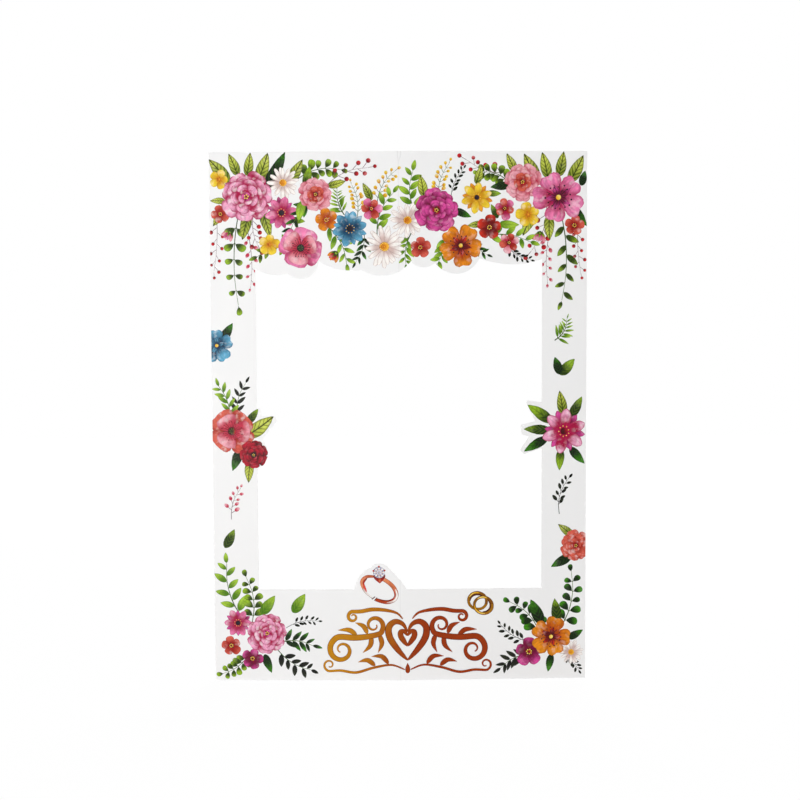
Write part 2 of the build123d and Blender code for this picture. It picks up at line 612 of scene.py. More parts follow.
@dataclass(frozen=True)
class Mottle:
    """Unprinted stock: two shades that cloud into each other, and a third in flecks."""

    shades: tuple[str, str, str]
    cloud: Point
    flecks: Point
    share: float

    def lay(self, bench: NodeBench, fleck: Socket) -> Socket:
        """Colour of the stock.

        Args:
            bench: The material's bench.
            fleck: The noise that its flecks follow.

        Returns:
            The colour.
        """
        first, second, third = (colour(shade) for shade in self.shades)
        base = bench.mix(bench.noise(bench.where(), *self.cloud), first, second)
        return bench.mix(bench.ease(fleck, *self.flecks, 0.0, self.share), base, third)


@dataclass(frozen=True)
class SatinFilm:
    """Finish of the film. A noise is waves a metre and detail, and the fold's sizes are metres."""

    gloss: float = 0.44
    drift: float = 0.12
    specular: float = 0.15
    bump: Point = (0.12, 0.00004)
    drift_noise: Point = (22.0, 3.0)
    grain_noise: Point = (2600.0, 2.0)
    ripple_noise: Point = (45.0, 1.0)
    sway_noise: Point = (40.0, 2.0)
    fleck_noise: Point = (900.0, 3.0)
    grain_gloss: float = 0.08
    grain_height: float = 0.35
    fold_line: float = 0.0011
    fold_sway: float = 0.0008
    # Painted shade of the fold's crease: how much the film darkens along it, low and high up the fold.
    fold_dark: Point = (0.06, 0.105)
    fork_rise: Point = (0.58, 0.591)
    fork_reach: Point = (0.0009, -0.0026)
    stock: Mottle = Mottle(("f3f3f3", "f7f6f5", "ecebe9"), (9.0, 4.0), (0.62, 0.8), 0.25)


@dataclass(frozen=True)
class BareCard:
    """Finish of the uncoated card, with fibres that lie along the sheet's height."""

    specular: float = 0.25
    bump: Point = (0.25, 0.00006)
    roughness: Point = (0.14, 0.78)
    fibre_scale: tuple[float, float, float] = (420.0, 420.0, 95.0)
    fibre_noise: Point = (1.0, 4.0)
    stock: Mottle = Mottle(("efeeea", "f5f4f1", "e2e0da"), (30.0, 4.0), (0.5, 0.72), 0.35)


@dataclass(frozen=True)
class Watercolour:
    """How a wash runs, pools, streaks and dries. Noises are scale and detail, lights factor and base."""

    paper: str = "fdf8f6"
    pool_noise: Point = (190.0, 2.0)
    pool_light: Point = (0.35, 1.0)
    tone_lean: Point = (0.4, -0.2)
    thinnest: float = 0.05
    lanes: tuple[float, float, float] = (4.0, 1.3, 40.0)
    lane_noise: Point = (1.6, 2.0)
    dry_noise: Point = (140.0, 3.0)
    dry_spots: Point = (0.5, 0.68)
    dry_along: Point = (0.2, 0.75)
    rim: float = 0.32
    midrib: Point = (0.04, 0.14)
    ribs: float = 6.0
    rib_slant: float = -1.6
    rib_width: Point = (0.05, 0.16)
    rib_reach: Point = (0.08, 0.3)
    rib_share: float = 0.75
    between_ribs: Point = (0.2, 0.5)
    between_light: float = 0.4
    grit_noise: Point = (1500.0, 2.0)
    grit_light: Point = (0.16, 0.92)


class Finish:
    """Materials of the sheet and the print, and the shader groups that they share."""

    film = SatinFilm()
    card = BareCard()
    water = Watercolour()
    gold_across = (-0.087, 0.014)
    gold_slant = -0.25
    gold_noise = (60.0, 3.0)
    gold_drift = (0.05, -0.025)

    def __init__(self) -> None:
        """Build the shared groups."""
        self.sheen = self.sheen_group()
        self.wash = self.wash_group()
        self.inks: dict[Ink, Material] = {}

    @staticmethod
    def group(name: str, inputs: dict[str, str], outputs: dict[str, str]) -> tuple[NodeBench, dict]:
        """Start a shader group.

        Args:
            name: The group's name.
            inputs: Name and kind of each input.
            outputs: Name and kind of each output.

        Returns:
            The bench to build it on, and its input sockets by name.
        """
        tree = bpy.data.node_groups.new(name, "ShaderNodeTree")
        for way, sockets in (("INPUT", inputs), ("OUTPUT", outputs)):
            for label, kind in sockets.items():
                tree.interface.new_socket(label, in_out=way, socket_type=f"NodeSocket{kind}")
        bench = NodeBench(tree)
        return bench, bench.put("NodeGroupInput").outputs

    def sheen_group(self) -> NodeTree:
        """Satin film over the print: a fine even texel, slow drifts in its gloss, and painted shade along the
        line of the fold.

        Returns:
            A group that gives the Colour under the film with the painted shade of the fold in it, its
            Roughness and the Height of its grain.
        """
        inputs = {"Colour": "Color", "Gloss": "Float", "Drift": "Float"}
        outputs = {"Colour": "Color", "Roughness": "Float", "Height": "Float"}
        bench, size = self.group("film_sheen", inputs, outputs)
        film = self.film
        where = bench.where()
        grain = bench.noise(where, *film.grain_noise)
        roughness = bench.times_plus(bench.swing(where, *film.drift_noise), size["Drift"], size["Gloss"])
        roughness = bench.times_plus(bench.minus(grain, 0.5), film.grain_gloss, roughness, clamp=True)
        ripple = bench.noise(where, *film.ripple_noise)

        x, _, z = bench.split(where)
        beside = bench.times_plus(bench.swing(bench.vector(z=z), *film.sway_noise), film.fold_sway, x)
        fork = [bench.plus(beside, bench.ease(z, *film.fork_rise, 0.0, reach)) for reach in film.fork_reach]
        lines = [bench.ease(bench.math("ABSOLUTE", line), 0.0, film.fold_line, 1.0, 0.0) for line in fork]
        # Painted shade: the colour under the film darkens along the fold's crease lines, more where they fork
        # near the top.
        crease_shade = bench.times(bench.math("MAXIMUM", *lines), bench.ease(z, *film.fork_rise, *film.fold_dark))
        bench.put("NodeGroupOutput", {
            "Colour": bench.dimmed(size["Colour"], bench.minus(1.0, crease_shade)), "Roughness": roughness,
            "Height": bench.times_plus(grain, film.grain_height, ripple),
        })
        return bench.tree

    def wash_group(self) -> NodeTree:
        """Watercolour in a stroke: it runs from root to tip, streaks, pools and dries to a darker rim.

        Returns:
            A group that gives the Colour of a stroke.
        """
        inputs = {
            "Root": "Color", "Tip": "Color", "Edge": "Color", "Start": "Float", "End": "Float",
            "Streaks": "Float", "Bloom": "Float", "Rim": "Float", "Veins": "Float", "Paper": "Float",
        }
        bench, size = self.group("watercolour_wash", inputs, {"Colour": "Color"})
        water = self.water
        wash = bench.put("ShaderNodeAttribute", attribute_name="wash").outputs["Vector"]
        shape = bench.put("ShaderNodeAttribute", attribute_name="shape").outputs["Vector"]
        along, across, tone = bench.split(wash)
        root, tip, seed = bench.split(shape)
        where = bench.where()
        half = blade_half_width(bench, along, root, tip)
        spread = bench.math("ABSOLUTE", across)
        rim = bench.minus(half, spread)

        pool = bench.swing(where, *water.pool_noise)
        lean = bench.times_plus(tone, *water.tone_lean)
        run = bench.plus(bench.times_plus(pool, size["Bloom"], along), lean)
        body = bench.mix(bench.ease(run, size["Start"], size["End"]), size["Root"], size["Tip"])
        ratio = bench.over(across, bench.math("MAXIMUM", half, water.thinnest))
        lanes = [bench.times(value, scale) for value, scale in zip((ratio, along, seed), water.lanes)]
        streak = bench.swing(bench.vector(*lanes), *water.lane_noise)
        pooled = bench.times_plus(pool, *water.pool_light)
        body = bench.dimmed(body, bench.times_plus(streak, size["Streaks"], pooled))
        own = bench.vector_math("ADD", where, bench.vector(seed, tone, seed))
        dry = bench.ease(bench.noise(own, *water.dry_noise), *water.dry_spots)
        bare = bench.times(bench.times(dry, bench.ease(along, *water.dry_along)), size["Paper"])
        body = bench.mix(bare, body, colour(water.paper))

        wet = bench.times(bench.ease(rim, 0.0, water.rim, 1.0, 0.0), size["Rim"])
        body = bench.mix(wet, body, size["Edge"])

        midrib = bench.ease(spread, *water.midrib, 1.0, 0.0)
        slant = bench.times_plus(spread, water.rib_slant, bench.times(along, water.ribs))
        ribs = bench.math("ABSOLUTE", bench.minus(bench.math("FRACT", slant), 0.5))
        inside = bench.ease(rim, *water.rib_reach)
        side_veins = bench.times(bench.ease(ribs, *water.rib_width, 1.0, 0.0), inside)
        veins = bench.math("MAXIMUM", midrib, bench.times(side_veins, water.rib_share))
        lit = bench.times(bench.ease(ribs, *water.between_ribs, 0.0, water.between_light), size["Veins"])
        body = bench.mix(lit, body, size["Tip"])
        body = bench.mix(bench.times(veins, size["Veins"]), body, size["Edge"])

        grit = bench.times_plus(bench.noise(where, *water.grit_noise), *water.grit_light)
        bench.put("NodeGroupOutput", {"Colour": bench.dimmed(body, grit)})
        return bench.tree

    @staticmethod
    def surface(name: str) -> tuple[Material, NodeBench, Node]:
        """Start a material.

        Args:
            name: The material's name.

        Returns:
            The material, a bench on its tree and its Principled node.
        """
        material = bpy.data.materials.new(name)
        material.use_nodes = True
        return material, NodeBench(material.node_tree), material.node_tree.nodes["Principled BSDF"]

    def filmed(self, bench: NodeBench, shader: Node, base: Socket) -> None:
        """Lay a colour under the satin film.

        Args:
            bench: The material's bench.
            shader: Its Principled node.
            base: The colour under the film.
        """
        inputs = {"Colour": base, "Gloss": self.film.gloss, "Drift": self.film.drift}
        film = bench.put("ShaderNodeGroup", inputs, node_tree=self.sheen).outputs
        bench.feed(shader, {
            "Base Color": film["Colour"], "Roughness": film["Roughness"],
            "Normal": bench.bump(film["Height"], *self.film.bump), "Specular IOR Level": self.film.specular,
        })

    def white_film(self) -> Material:
        """Unprinted white face under the film, with a trace of cloudiness in the card below."""
        material, bench, shader = self.surface("white_satin_film")
        fleck = bench.noise(bench.where(), *self.film.fleck_noise)
        self.filmed(bench, shader, self.film.stock.lay(bench, fleck))
        return material

    def card_stock(self) -> Material:
        """Uncoated back and cut edges of the card: matt, with fibres lying in the paper."""
        material, bench, shader = self.surface("uncoated_card")
        stretch = {"Vector": bench.where(), "Scale": self.card.fibre_scale}
        fibre = bench.noise(bench.put("ShaderNodeMapping", stretch).outputs[0], *self.card.fibre_noise)
        bench.feed(shader, {
            "Base Color": self.card.stock.lay(bench, fibre),
            "Roughness": bench.times_plus(fibre, *self.card.roughness),
            "Normal": bench.bump(fibre, *self.card.bump), "Specular IOR Level": self.card.specular,
        })
        return material

    def ink(self, choice: Ink) -> Material:
        """Material of one ink, made when it is first asked for.

        Args:
            choice: Which ink.

        Returns:
            The material.
        """
        if choice not in self.inks:
            material, bench, shader = self.surface(f"ink_{choice.name.lower()}")
            base = self.gold(bench) if choice is Ink.GOLD else self.washed(bench, choice.value)
            self.filmed(bench, shader, base)
            self.inks[choice] = material
        return self.inks[choice]

    def washed(self, bench: NodeBench, recipe: Wash, **changed: Socket) -> Socket:
        """Lay a wash in a material.

        Args:
            bench: The material's bench.
            recipe: The ink.
            **changed: Inputs of the wash that don't come from the ink.

        Returns:
            The colour of the wash.
        """
        values = {item.name.capitalize(): getattr(recipe, item.name) for item in fields(recipe)}
        inputs = {name: colour(value) if isinstance(value, str) else value for name, value in values.items()}
        return bench.put("ShaderNodeGroup", {**inputs, **changed}, node_tree=self.wash).outputs["Colour"]

    def gold(self, bench: NodeBench) -> Socket:
        """Printed gold that runs from yellow on the left to copper on the right, with a dark outline.

        Args:
            bench: The material's bench.

        Returns:
            The colour of the wash.
        """
        where = bench.where()
        x, _, z = bench.split(where)
        drift = bench.times_plus(bench.noise(where, *self.gold_noise), *self.gold_drift)
        share = bench.ease(bench.plus(bench.times_plus(z, self.gold_slant, x), drift), *self.gold_across)
        left, right = Ink.GOLD.value, Ink.COPPER.value
        body = bench.mix(share, colour(left.root), colour(right.root))
        edge = bench.mix(share, colour(left.edge), colour(right.edge))
        return self.washed(bench, left, Root=body, Tip=body, Edge=edge)


@dataclass(frozen=True)
class Band:
    """A stretch of the printed face: one half of the sheet, or the fold between them."""

    name: str
    outline: list[Point]
    bodies: tuple[str, ...]


class PrintedFace:
    """The sheet's printed face as the frame has it: two leaning halves and the fold."""

    def __init__(self) -> None:
        """Read the fold's axis and the film's planes from the frame."""
        self.joint = frame["joints"][0]
        self.axis = Vector(self.joint["pos_m"])
        self.left_front, self.film_front = self.plane("left_film", -1.0)
        self.right_front, _ = self.plane("right_film", -1.0)
        _, self.groove_front = self.plane("top_crease_film", -1.0)
        self.card_back = -self.plane("left_card", 1.0)[1]
        self.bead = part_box("top_crease")[1].y - self.axis.y
        up = Vector((0.0, 0.0, 1.0))
        self.left_across = self.left_front.cross(up) * -1.0
        self.right_across = self.right_front.cross(up) * -1.0
        self.fold_half = -self.flat(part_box("left_film")[1], self.left_across)[0]
        left_body, right_body = self.joint["parent"], self.joint["child"]
        self.bands = [
            Band("left", self.outline("left_film", self.left_across), (left_body,)),
            Band("right", self.outline("right_film", self.right_across), (right_body,)),
            Band("fold", self.strip("top_crease"), (left_body, right_body)),
            Band("fold", self.strip("bottom_crease"), (left_body, right_body)),
        ]

    def plane(self, node: str, facing: float) -> tuple[Vector, float]:
        """The front or back plane of a flat node.

        Args:
            node: The CAD node.
            facing: -1 for its front, +1 for its back.

        Returns:
            The plane's normal, and its distance from the fold's axis along that normal.
        """
        faces = [face for face in frame["nodes"][node].data.polygons if face.normal.y * facing > FRONT_FACING]
        normal = sum((face.normal * face.area for face in faces), Vector()).normalized()
        return normal, (faces[0].center - self.axis).dot(normal)

    def flat(self, place: Vector, across: Vector) -> Point:
        """Sheet millimetres of a point in the frame."""
        return (place - self.axis).dot(across) / MM, place.z / MM

    def outline(self, node: str, across: Vector) -> list[Point]:
        """Cut outline of a half, walked round the front of its film.

        Args:
            node: The half's film.
            across: The half's direction away from left to right.

        Returns:
            The outline's points, anticlockwise.
        """
        film = bmesh.new()
        film.from_mesh(frame["nodes"][node].data)
        bmesh.ops.remove_doubles(film, verts=film.verts, dist=WELD_DISTANCE)
        film.normal_update()
        following = {}
        for face in film.faces:
            if face.normal.y > -FRONT_FACING:
                continue
            for loop in face.loops:
                if loop.link_loop_radial_next.face.normal.y > -FRONT_FACING:
                    following[loop.vert] = loop.link_loop_next.vert
        start = vertex = next(iter(following))
        points = []
        while not points or vertex is not start:
            points.append(self.flat(vertex.co, across))
            vertex = following[vertex]
        film.free()
        return points

    def strip(self, node: str) -> list[Point]:
        """Rectangle of the fold between the halves, above or below the window."""
        low, high = (corner.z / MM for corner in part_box(node))
        half = self.fold_half
        return [(-half, low), (half, low), (half, high), (-half, high)]

    def fold_ends(self) -> list[tuple[float, ...]]:
        """Where the fold meets the left half, and where it meets the right one."""
        return [tuple(self.place(sign * self.fold_half, 0.0, 0.0)) for sign in (-1.0, 1.0)]

    def place(self, across: float, up: float, depth: float) -> Vector:
        """A point on the sheet.

        Args:
            across: Millimetres from the fold.
            up: Millimetres from the bottom edge.
            depth: Metres in front of the fold's axis.

        Returns:
            The point in the frame.
        """
        share = min(max((across / self.fold_half + 1.0) / 2.0, 0.0), 1.0)
        share = share * share * (3.0 - 2.0 * share)
        sideways = self.left_across.lerp(self.right_across, share)
        forward = self.left_front.lerp(self.right_front, share)
        return self.axis + sideways * across * MM + forward * depth + Vector((0.0, 0.0, up * MM))

    def face_depth(self, across: float) -> float:
        """Depth of the printed face, which dips into the pressed groove at the fold."""
        reach = 1.0 - (across / self.fold_half) ** 2
        groove = max(reach, 0.0) ** 2 * (self.film_front - self.groove_front)
        return self.film_front - groove


@dataclass
class FoldStrip:
    """The pressed fold above or below the window, with the bead that it raises behind."""

    name: str
    nodes: tuple[str, str]
    columns: int = 12
    ring_step: float = 2.5
    wobble: float = 0.00003
    dents: tuple[float, float, float] = (3.0, 0.11, 4.0)
    facing: float = 0.5

    def back_depth(self, face: PrintedFace, across: float) -> float:
        """Depth of the back at a place across the fold: the bead, run out to the card's back."""
        bead = face.bead / MM
        reach = abs(across)
        if reach < bead:
            return -math.sqrt(bead * bead - reach * reach) * MM
        return face.card_back * (reach - bead) / (face.fold_half - bead)

    def section(self, face: PrintedFace, up: float) -> list[Vector]:
        """Closed section of the fold at a height.

        Args:
            face: The printed face.
            up: Millimetres from the bottom edge.

        Returns:
            Points along the front from left to right, then back behind it.
        """
        half = face.fold_half
        places = [-half + 2.0 * half * column / self.columns for column in range(self.columns + 1)]
        close, tall, layer = self.dents
        points = []
        for across in places:
            dent = self.wobble * noise.noise(Vector((across * close, up * tall, layer)))
            depth = face.face_depth(across) + dent * (1.0 - (across / half) ** 2)
            points.append(face.place(across, up, depth))
        points.extend(face.place(across, up, self.back_depth(face, across)) for across in reversed(places))
        return points

    def build(self, face: PrintedFace) -> Object:
        """Make the strip's mesh.

        Args:
            face: The printed face that it belongs to.

        Returns:
            The strip, in place.
        """
        low, high = (corner.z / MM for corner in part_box(self.nodes[0]))
        rings = max(int((high - low) / self.ring_step), 2)
        corners = []
        for ring in range(rings + 1):
            corners.extend(self.section(face, low + (high - low) * ring / rings))
        around = 2 * (self.columns + 1)
        faces = [tuple(reversed(range(around))), tuple(range(rings * around, (rings + 1) * around))]
        for ring in range(rings):
            for corner in range(around):
                beside = (corner + 1) % around
                base = ring * around
                faces.append((base + beside, base + around + beside, base + around + corner, base + corner))
        mesh = bpy.data.meshes.new(self.name)
        mesh.from_pydata(corners, [], faces)
        mesh.validate()
        return set_out(self.name, mesh)

    def dress(self, piece: Object, face: PrintedFace, film: Material, card: Material) -> None:
        """Film in front, bare card behind, and the fold's place in the frame.

        Args:
            piece: The strip.
            face: The printed face. It is not used.
            film: Material of its front.
            card: Material of the rest.
        """
        for material in (film, card):
            piece.data.materials.append(material)
        for polygon in piece.data.polygons:
            polygon.material_index = 0 if polygon.normal.y < -self.facing else 1
            polygon.use_smooth = abs(polygon.normal.z) < self.facing
        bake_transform(piece)
        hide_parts(*self.nodes)


@dataclass
class Stroke:
    """One painted outline of the print."""

    motif: str
    outline: np.ndarray
    wash: np.ndarray
    shape: tuple[float, float]
    ink: Material
    tone: float
    seed: float
    straight_corners = 8

    def fitted(self) -> np.ndarray:
        """Along and across of the stroke as a smooth function of place: one column of factors for each."""
        return np.linalg.lstsq(self.terms(self.outline), self.wash, rcond=None)[0]

    def terms(self, places: np.ndarray) -> np.ndarray:
        """Terms of that function at some places."""
        x, y = (places - self.outline.mean(axis=0)).T
        plain = [np.ones_like(x), x, y]
        bent = [x * x, x * y, y * y] if len(self.outline) > self.straight_corners else []
        return np.stack(plain + bent, axis=1)


def topmost(outlines: list[np.ndarray], places: np.ndarray) -> np.ndarray:
    """Which outline lies uppermost at each place.

    Args:
        outlines: Closed outlines, the lowest first. They may cross themselves.
        places: Points, one in a row.

    Returns:
        Number of the last outline that winds round each point, or -1.
    """
    found = np.full(len(places), -1)
    for number, outline in enumerate(outlines):
        boxed = (places >= outline.min(axis=0)) & (places <= outline.max(axis=0))
        near = np.flatnonzero(boxed.all(axis=1))
        x, y = places[near, :1], places[near, 1:]
        start_x, start_y = outline.T
        end_x, end_y = np.roll(outline, -1, axis=0).T
        side = (end_x - start_x) * (y - start_y) - (x - start_x) * (end_y - start_y)
        upward = (start_y <= y) & (end_y > y) & (side > 0)
        downward = (start_y > y) & (end_y <= y) & (side < 0)
        found[near[upward.sum(axis=1) != downward.sum(axis=1)]] = number
    return found


class Drawing:
    """The strokes of one part of the print, in the order that they are painted."""

    least_area = 0.004
    least_gap = 1e-5

    def __init__(self, region: str, seed: int) -> None:
        """Start with a bare sheet.

        Args:
            region: Name of the part of the sheet.
            seed: Fixes the chance in its tones.
        """
        self.region = region
        self.strokes: list[Stroke] = []
        self.chance = np.random.default_rng(seed)

    def paint(
        self, motif: str, mesh: Mesh, at: Point = (0.0, 0.0), turn: float = 0.0, even: bool = False,
    ) -> None:
        """Add the outlines of a drawing tool's mesh.

        Args:
            motif: The piece that they belong to.
            mesh: The tool's mesh.
            at: Where its origin goes on the sheet.
            turn: Degrees anticlockwise.
            even: Whether all its outlines have one tone, as the stretches of a pen line do.
        """
        count = len(mesh.vertices)
        places = np.empty(count * 3)
        mesh.vertices.foreach_get("co", places)
        places = places.reshape(-1, 3)[:, :2]
        cosine, sine = math.cos(math.radians(turn)), math.sin(math.radians(turn))
        places = places @ np.array(((cosine, sine), (-sine, cosine))) + np.array(at)
        kept = {}
        for name in ("wash", "shape"):
            values = np.empty(count * 3)
            mesh.attributes[name].data.foreach_get("vector", values)
            kept[name] = values.reshape(-1, 3)[:, :2]
        chances = self.chance.random((len(mesh.polygons), 2)).tolist()
        for polygon, chance in zip(mesh.polygons, chances):
            tone, seed = chances[0] if even else chance
            corners = np.array(polygon.vertices)
            x, y = places[corners].T
            area = 0.5 * float(np.sum(x * np.roll(y, -1) - np.roll(x, -1) * y))
            if abs(area) < self.least_area:
                continue
            if area < 0.0:
                corners = corners[::-1]
            self.strokes.append(Stroke(
                motif, places[corners], kept["wash"][corners], tuple(kept["shape"][corners[0]]),
                mesh.materials[polygon.material_index], tone, seed,
            ))
        bpy.data.meshes.remove(mesh)

    def flatten(self, bands: list[Band]) -> dict[tuple[str, int], list[tuple]]:
        """Cut the strokes to what shows of each one, inside the sheet's outline.

        Args:
            bands: The stretches of the printed face.

        Returns:
            For each motif and band, the triangles that show: corners on the sheet and stroke number.
        """
        sheet = [np.array(band.outline) for band in bands]
        points, edges = [], []
        for outline in sheet + [stroke.outline for stroke in self.strokes]:
            first, count = len(points), len(outline)
            edges.extend((first + corner, first + (corner + 1) % count) for corner in range(count))
            points.extend(Vector(place) for place in outline.tolist())
        corners, _, triangles, _, _, _ = geometry.delaunay_2d_cdt(points, edges, [], 0, self.least_gap)
        places = np.array([tuple(corner) for corner in corners])
        centres = places[np.array(triangles)].mean(axis=1)
        band_of = topmost(sheet, centres)
        top_of = topmost([stroke.outline for stroke in self.strokes], centres)
        shown: dict[tuple[str, int], list[tuple]] = {}
        for triangle, band, top in zip(triangles, band_of.tolist(), top_of.tolist()):
            if band >= 0 and top >= 0:
                key = (self.strokes[top].motif, band)
                shown.setdefault(key, []).append(([corners[corner] for corner in triangle], triangle, top))
        return shown


class PrintLayer:
    """The inks on the sheet as thin pieces that lie on the film."""

    lift = 0.00006

    def __init__(self, face: PrintedFace) -> None:
        """Print on a face."""
        self.face = face
        self.pieces: list[Object] = []

    def press(self, drawing: Drawing) -> None:
        """Turn a drawing into pieces, one for each motif and band."""
        factors = [stroke.fitted() for stroke in drawing.strokes]
        for (motif, number), triangles in sorted(drawing.flatten(self.face.bands).items()):
            band = self.face.bands[number]
            name = f"print_{drawing.region}_{motif}_{band.name}"
            self.piece(name, band, triangles, drawing.strokes, factors)

    def piece(
        self, name: str, band: Band, triangles: list[tuple], strokes: list[Stroke], factors: list[np.ndarray],
    ) -> None:
        """Make one piece of the print and set it on the sheet.

        Args:
            name: The piece's name.
            band: The stretch of the face that carries it.
            triangles: Its triangles.
            strokes: All strokes of the drawing.
            factors: Their fitted functions.
        """
        numbers: dict[int, int] = {}
        places, faces, washes, shapes, tops = [], [], [], [], []
        for corners, keys, top in triangles:
            stroke = strokes[top]
            for corner, key in zip(corners, keys):
                if key not in numbers:
                    numbers[key] = len(places)
                    depth = self.face.face_depth(corner.x) if band.name == "fold" else self.face.film_front
                    places.append(self.face.place(corner.x, corner.y, depth + self.lift))
            faces.append([numbers[key] for key in keys])
            fitted = stroke.terms(np.array([tuple(corner) for corner in corners])) @ factors[top]
            washes.extend((along, across, stroke.tone) for along, across in fitted.tolist())
            shapes.append((*stroke.shape, stroke.seed))
            tops.append(stroke.ink)
        mesh = bpy.data.meshes.new(name)
        mesh.from_pydata(places, [], faces)
        wash = mesh.attributes.new("wash", "FLOAT_VECTOR", "CORNER")
        wash.data.foreach_set("vector", np.array(washes, np.float32).ravel())
        shape = mesh.attributes.new("shape", "FLOAT_VECTOR", "FACE")
        shape.data.foreach_set("vector", np.array(shapes, np.float32).ravel())
        inks = list(dict.fromkeys(tops))
        for ink in inks:
            mesh.materials.append(ink)
        mesh.polygons.foreach_set("material_index", [inks.index(ink) for ink in tops])
        piece = set_out(name, mesh)
        if len(band.bodies) == 1:
            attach(piece, band.bodies[0])
        else:
            start, end = self.face.fold_ends()
            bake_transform(piece)
        self.pieces.append(piece)


PETAL_CORNERS = ((3.0, 12), (12.0, 30), (math.inf, 52))


@dataclass(frozen=True)
class Ring:
    """One ring of petals, sized in shares of the flower's radius, with its turns in degrees."""

    petals: int
    length: float
    width: float
    start: float
    ink: Ink
    root: float = 0.7
    tip: float = 0.45
    notch: float = 0.0
    ruffle: float = 0.05
    turn: float = 0.0
    spread: float = FULL_TURN
    unevenness: float = 0.07
    wander: float = 0.07
    corners: int | None = None

    def draw(self, tools: Tools, radius: float, seed: int) -> Mesh:
        """Draw the ring about the origin.

        Args:
            tools: The drawing tools.
            radius: The flower's radius.
            seed: Fixes its unevenness.

        Returns:
            The outlines of its petals.
        """
        whole = self.spread >= FULL_TURN
        gaps = self.petals if whole else max(self.petals - 1, 1)
        first = 0.0 if whole or self.petals == 1 else -self.spread / 2.0
        size = self.length * radius
        corners = self.corners or next(count for limit, count in PETAL_CORNERS if size < limit)
        return tools.ring.run([], {
            "Petals": self.petals, "Length": size, "Width": self.width * radius,
            "Start": self.start * radius, "Root": self.root, "Tip": self.tip, "Notch": self.notch,
            "Ruffle": self.ruffle * radius, "Spin": math.radians(self.turn + first),
            "Step": math.radians(self.spread / gaps), "Wander": self.wander, "Unevenness": self.unevenness,
            "Seed": seed, "Corners": corners, "Ink": tools.finish.ink(self.ink),
        })


def dots(count: int, across: float, start: float, ink: Ink, ruffle: float = 0.0, **others: float) -> Ring:
    """Round dots in a ring, or one in the middle."""
    return Ring(count, across, across, start, ink, 0.5, 0.5, ruffle=ruffle, **others)


def facets(count: int, length: float, width: float, start: float, ink: Ink, **others: float) -> Ring:
    """Facets of a cut stone, all exactly alike."""
    exact = {"ruffle": 0.0, "unevenness": 0.0, "wander": 0.0, "corners": 24}
    return Ring(count, length, width, start, ink, **exact, **others)


class Bloom(Enum):
    """Kinds of flower."""

    ROSETTE = "rosette"
    BLOSSOM = "blossom"
    DAISY = "daisy"
    STAR = "star"
    POPPY = "poppy"
    CUP = "cup"
    FLORET = "floret"
    BUD = "bud"


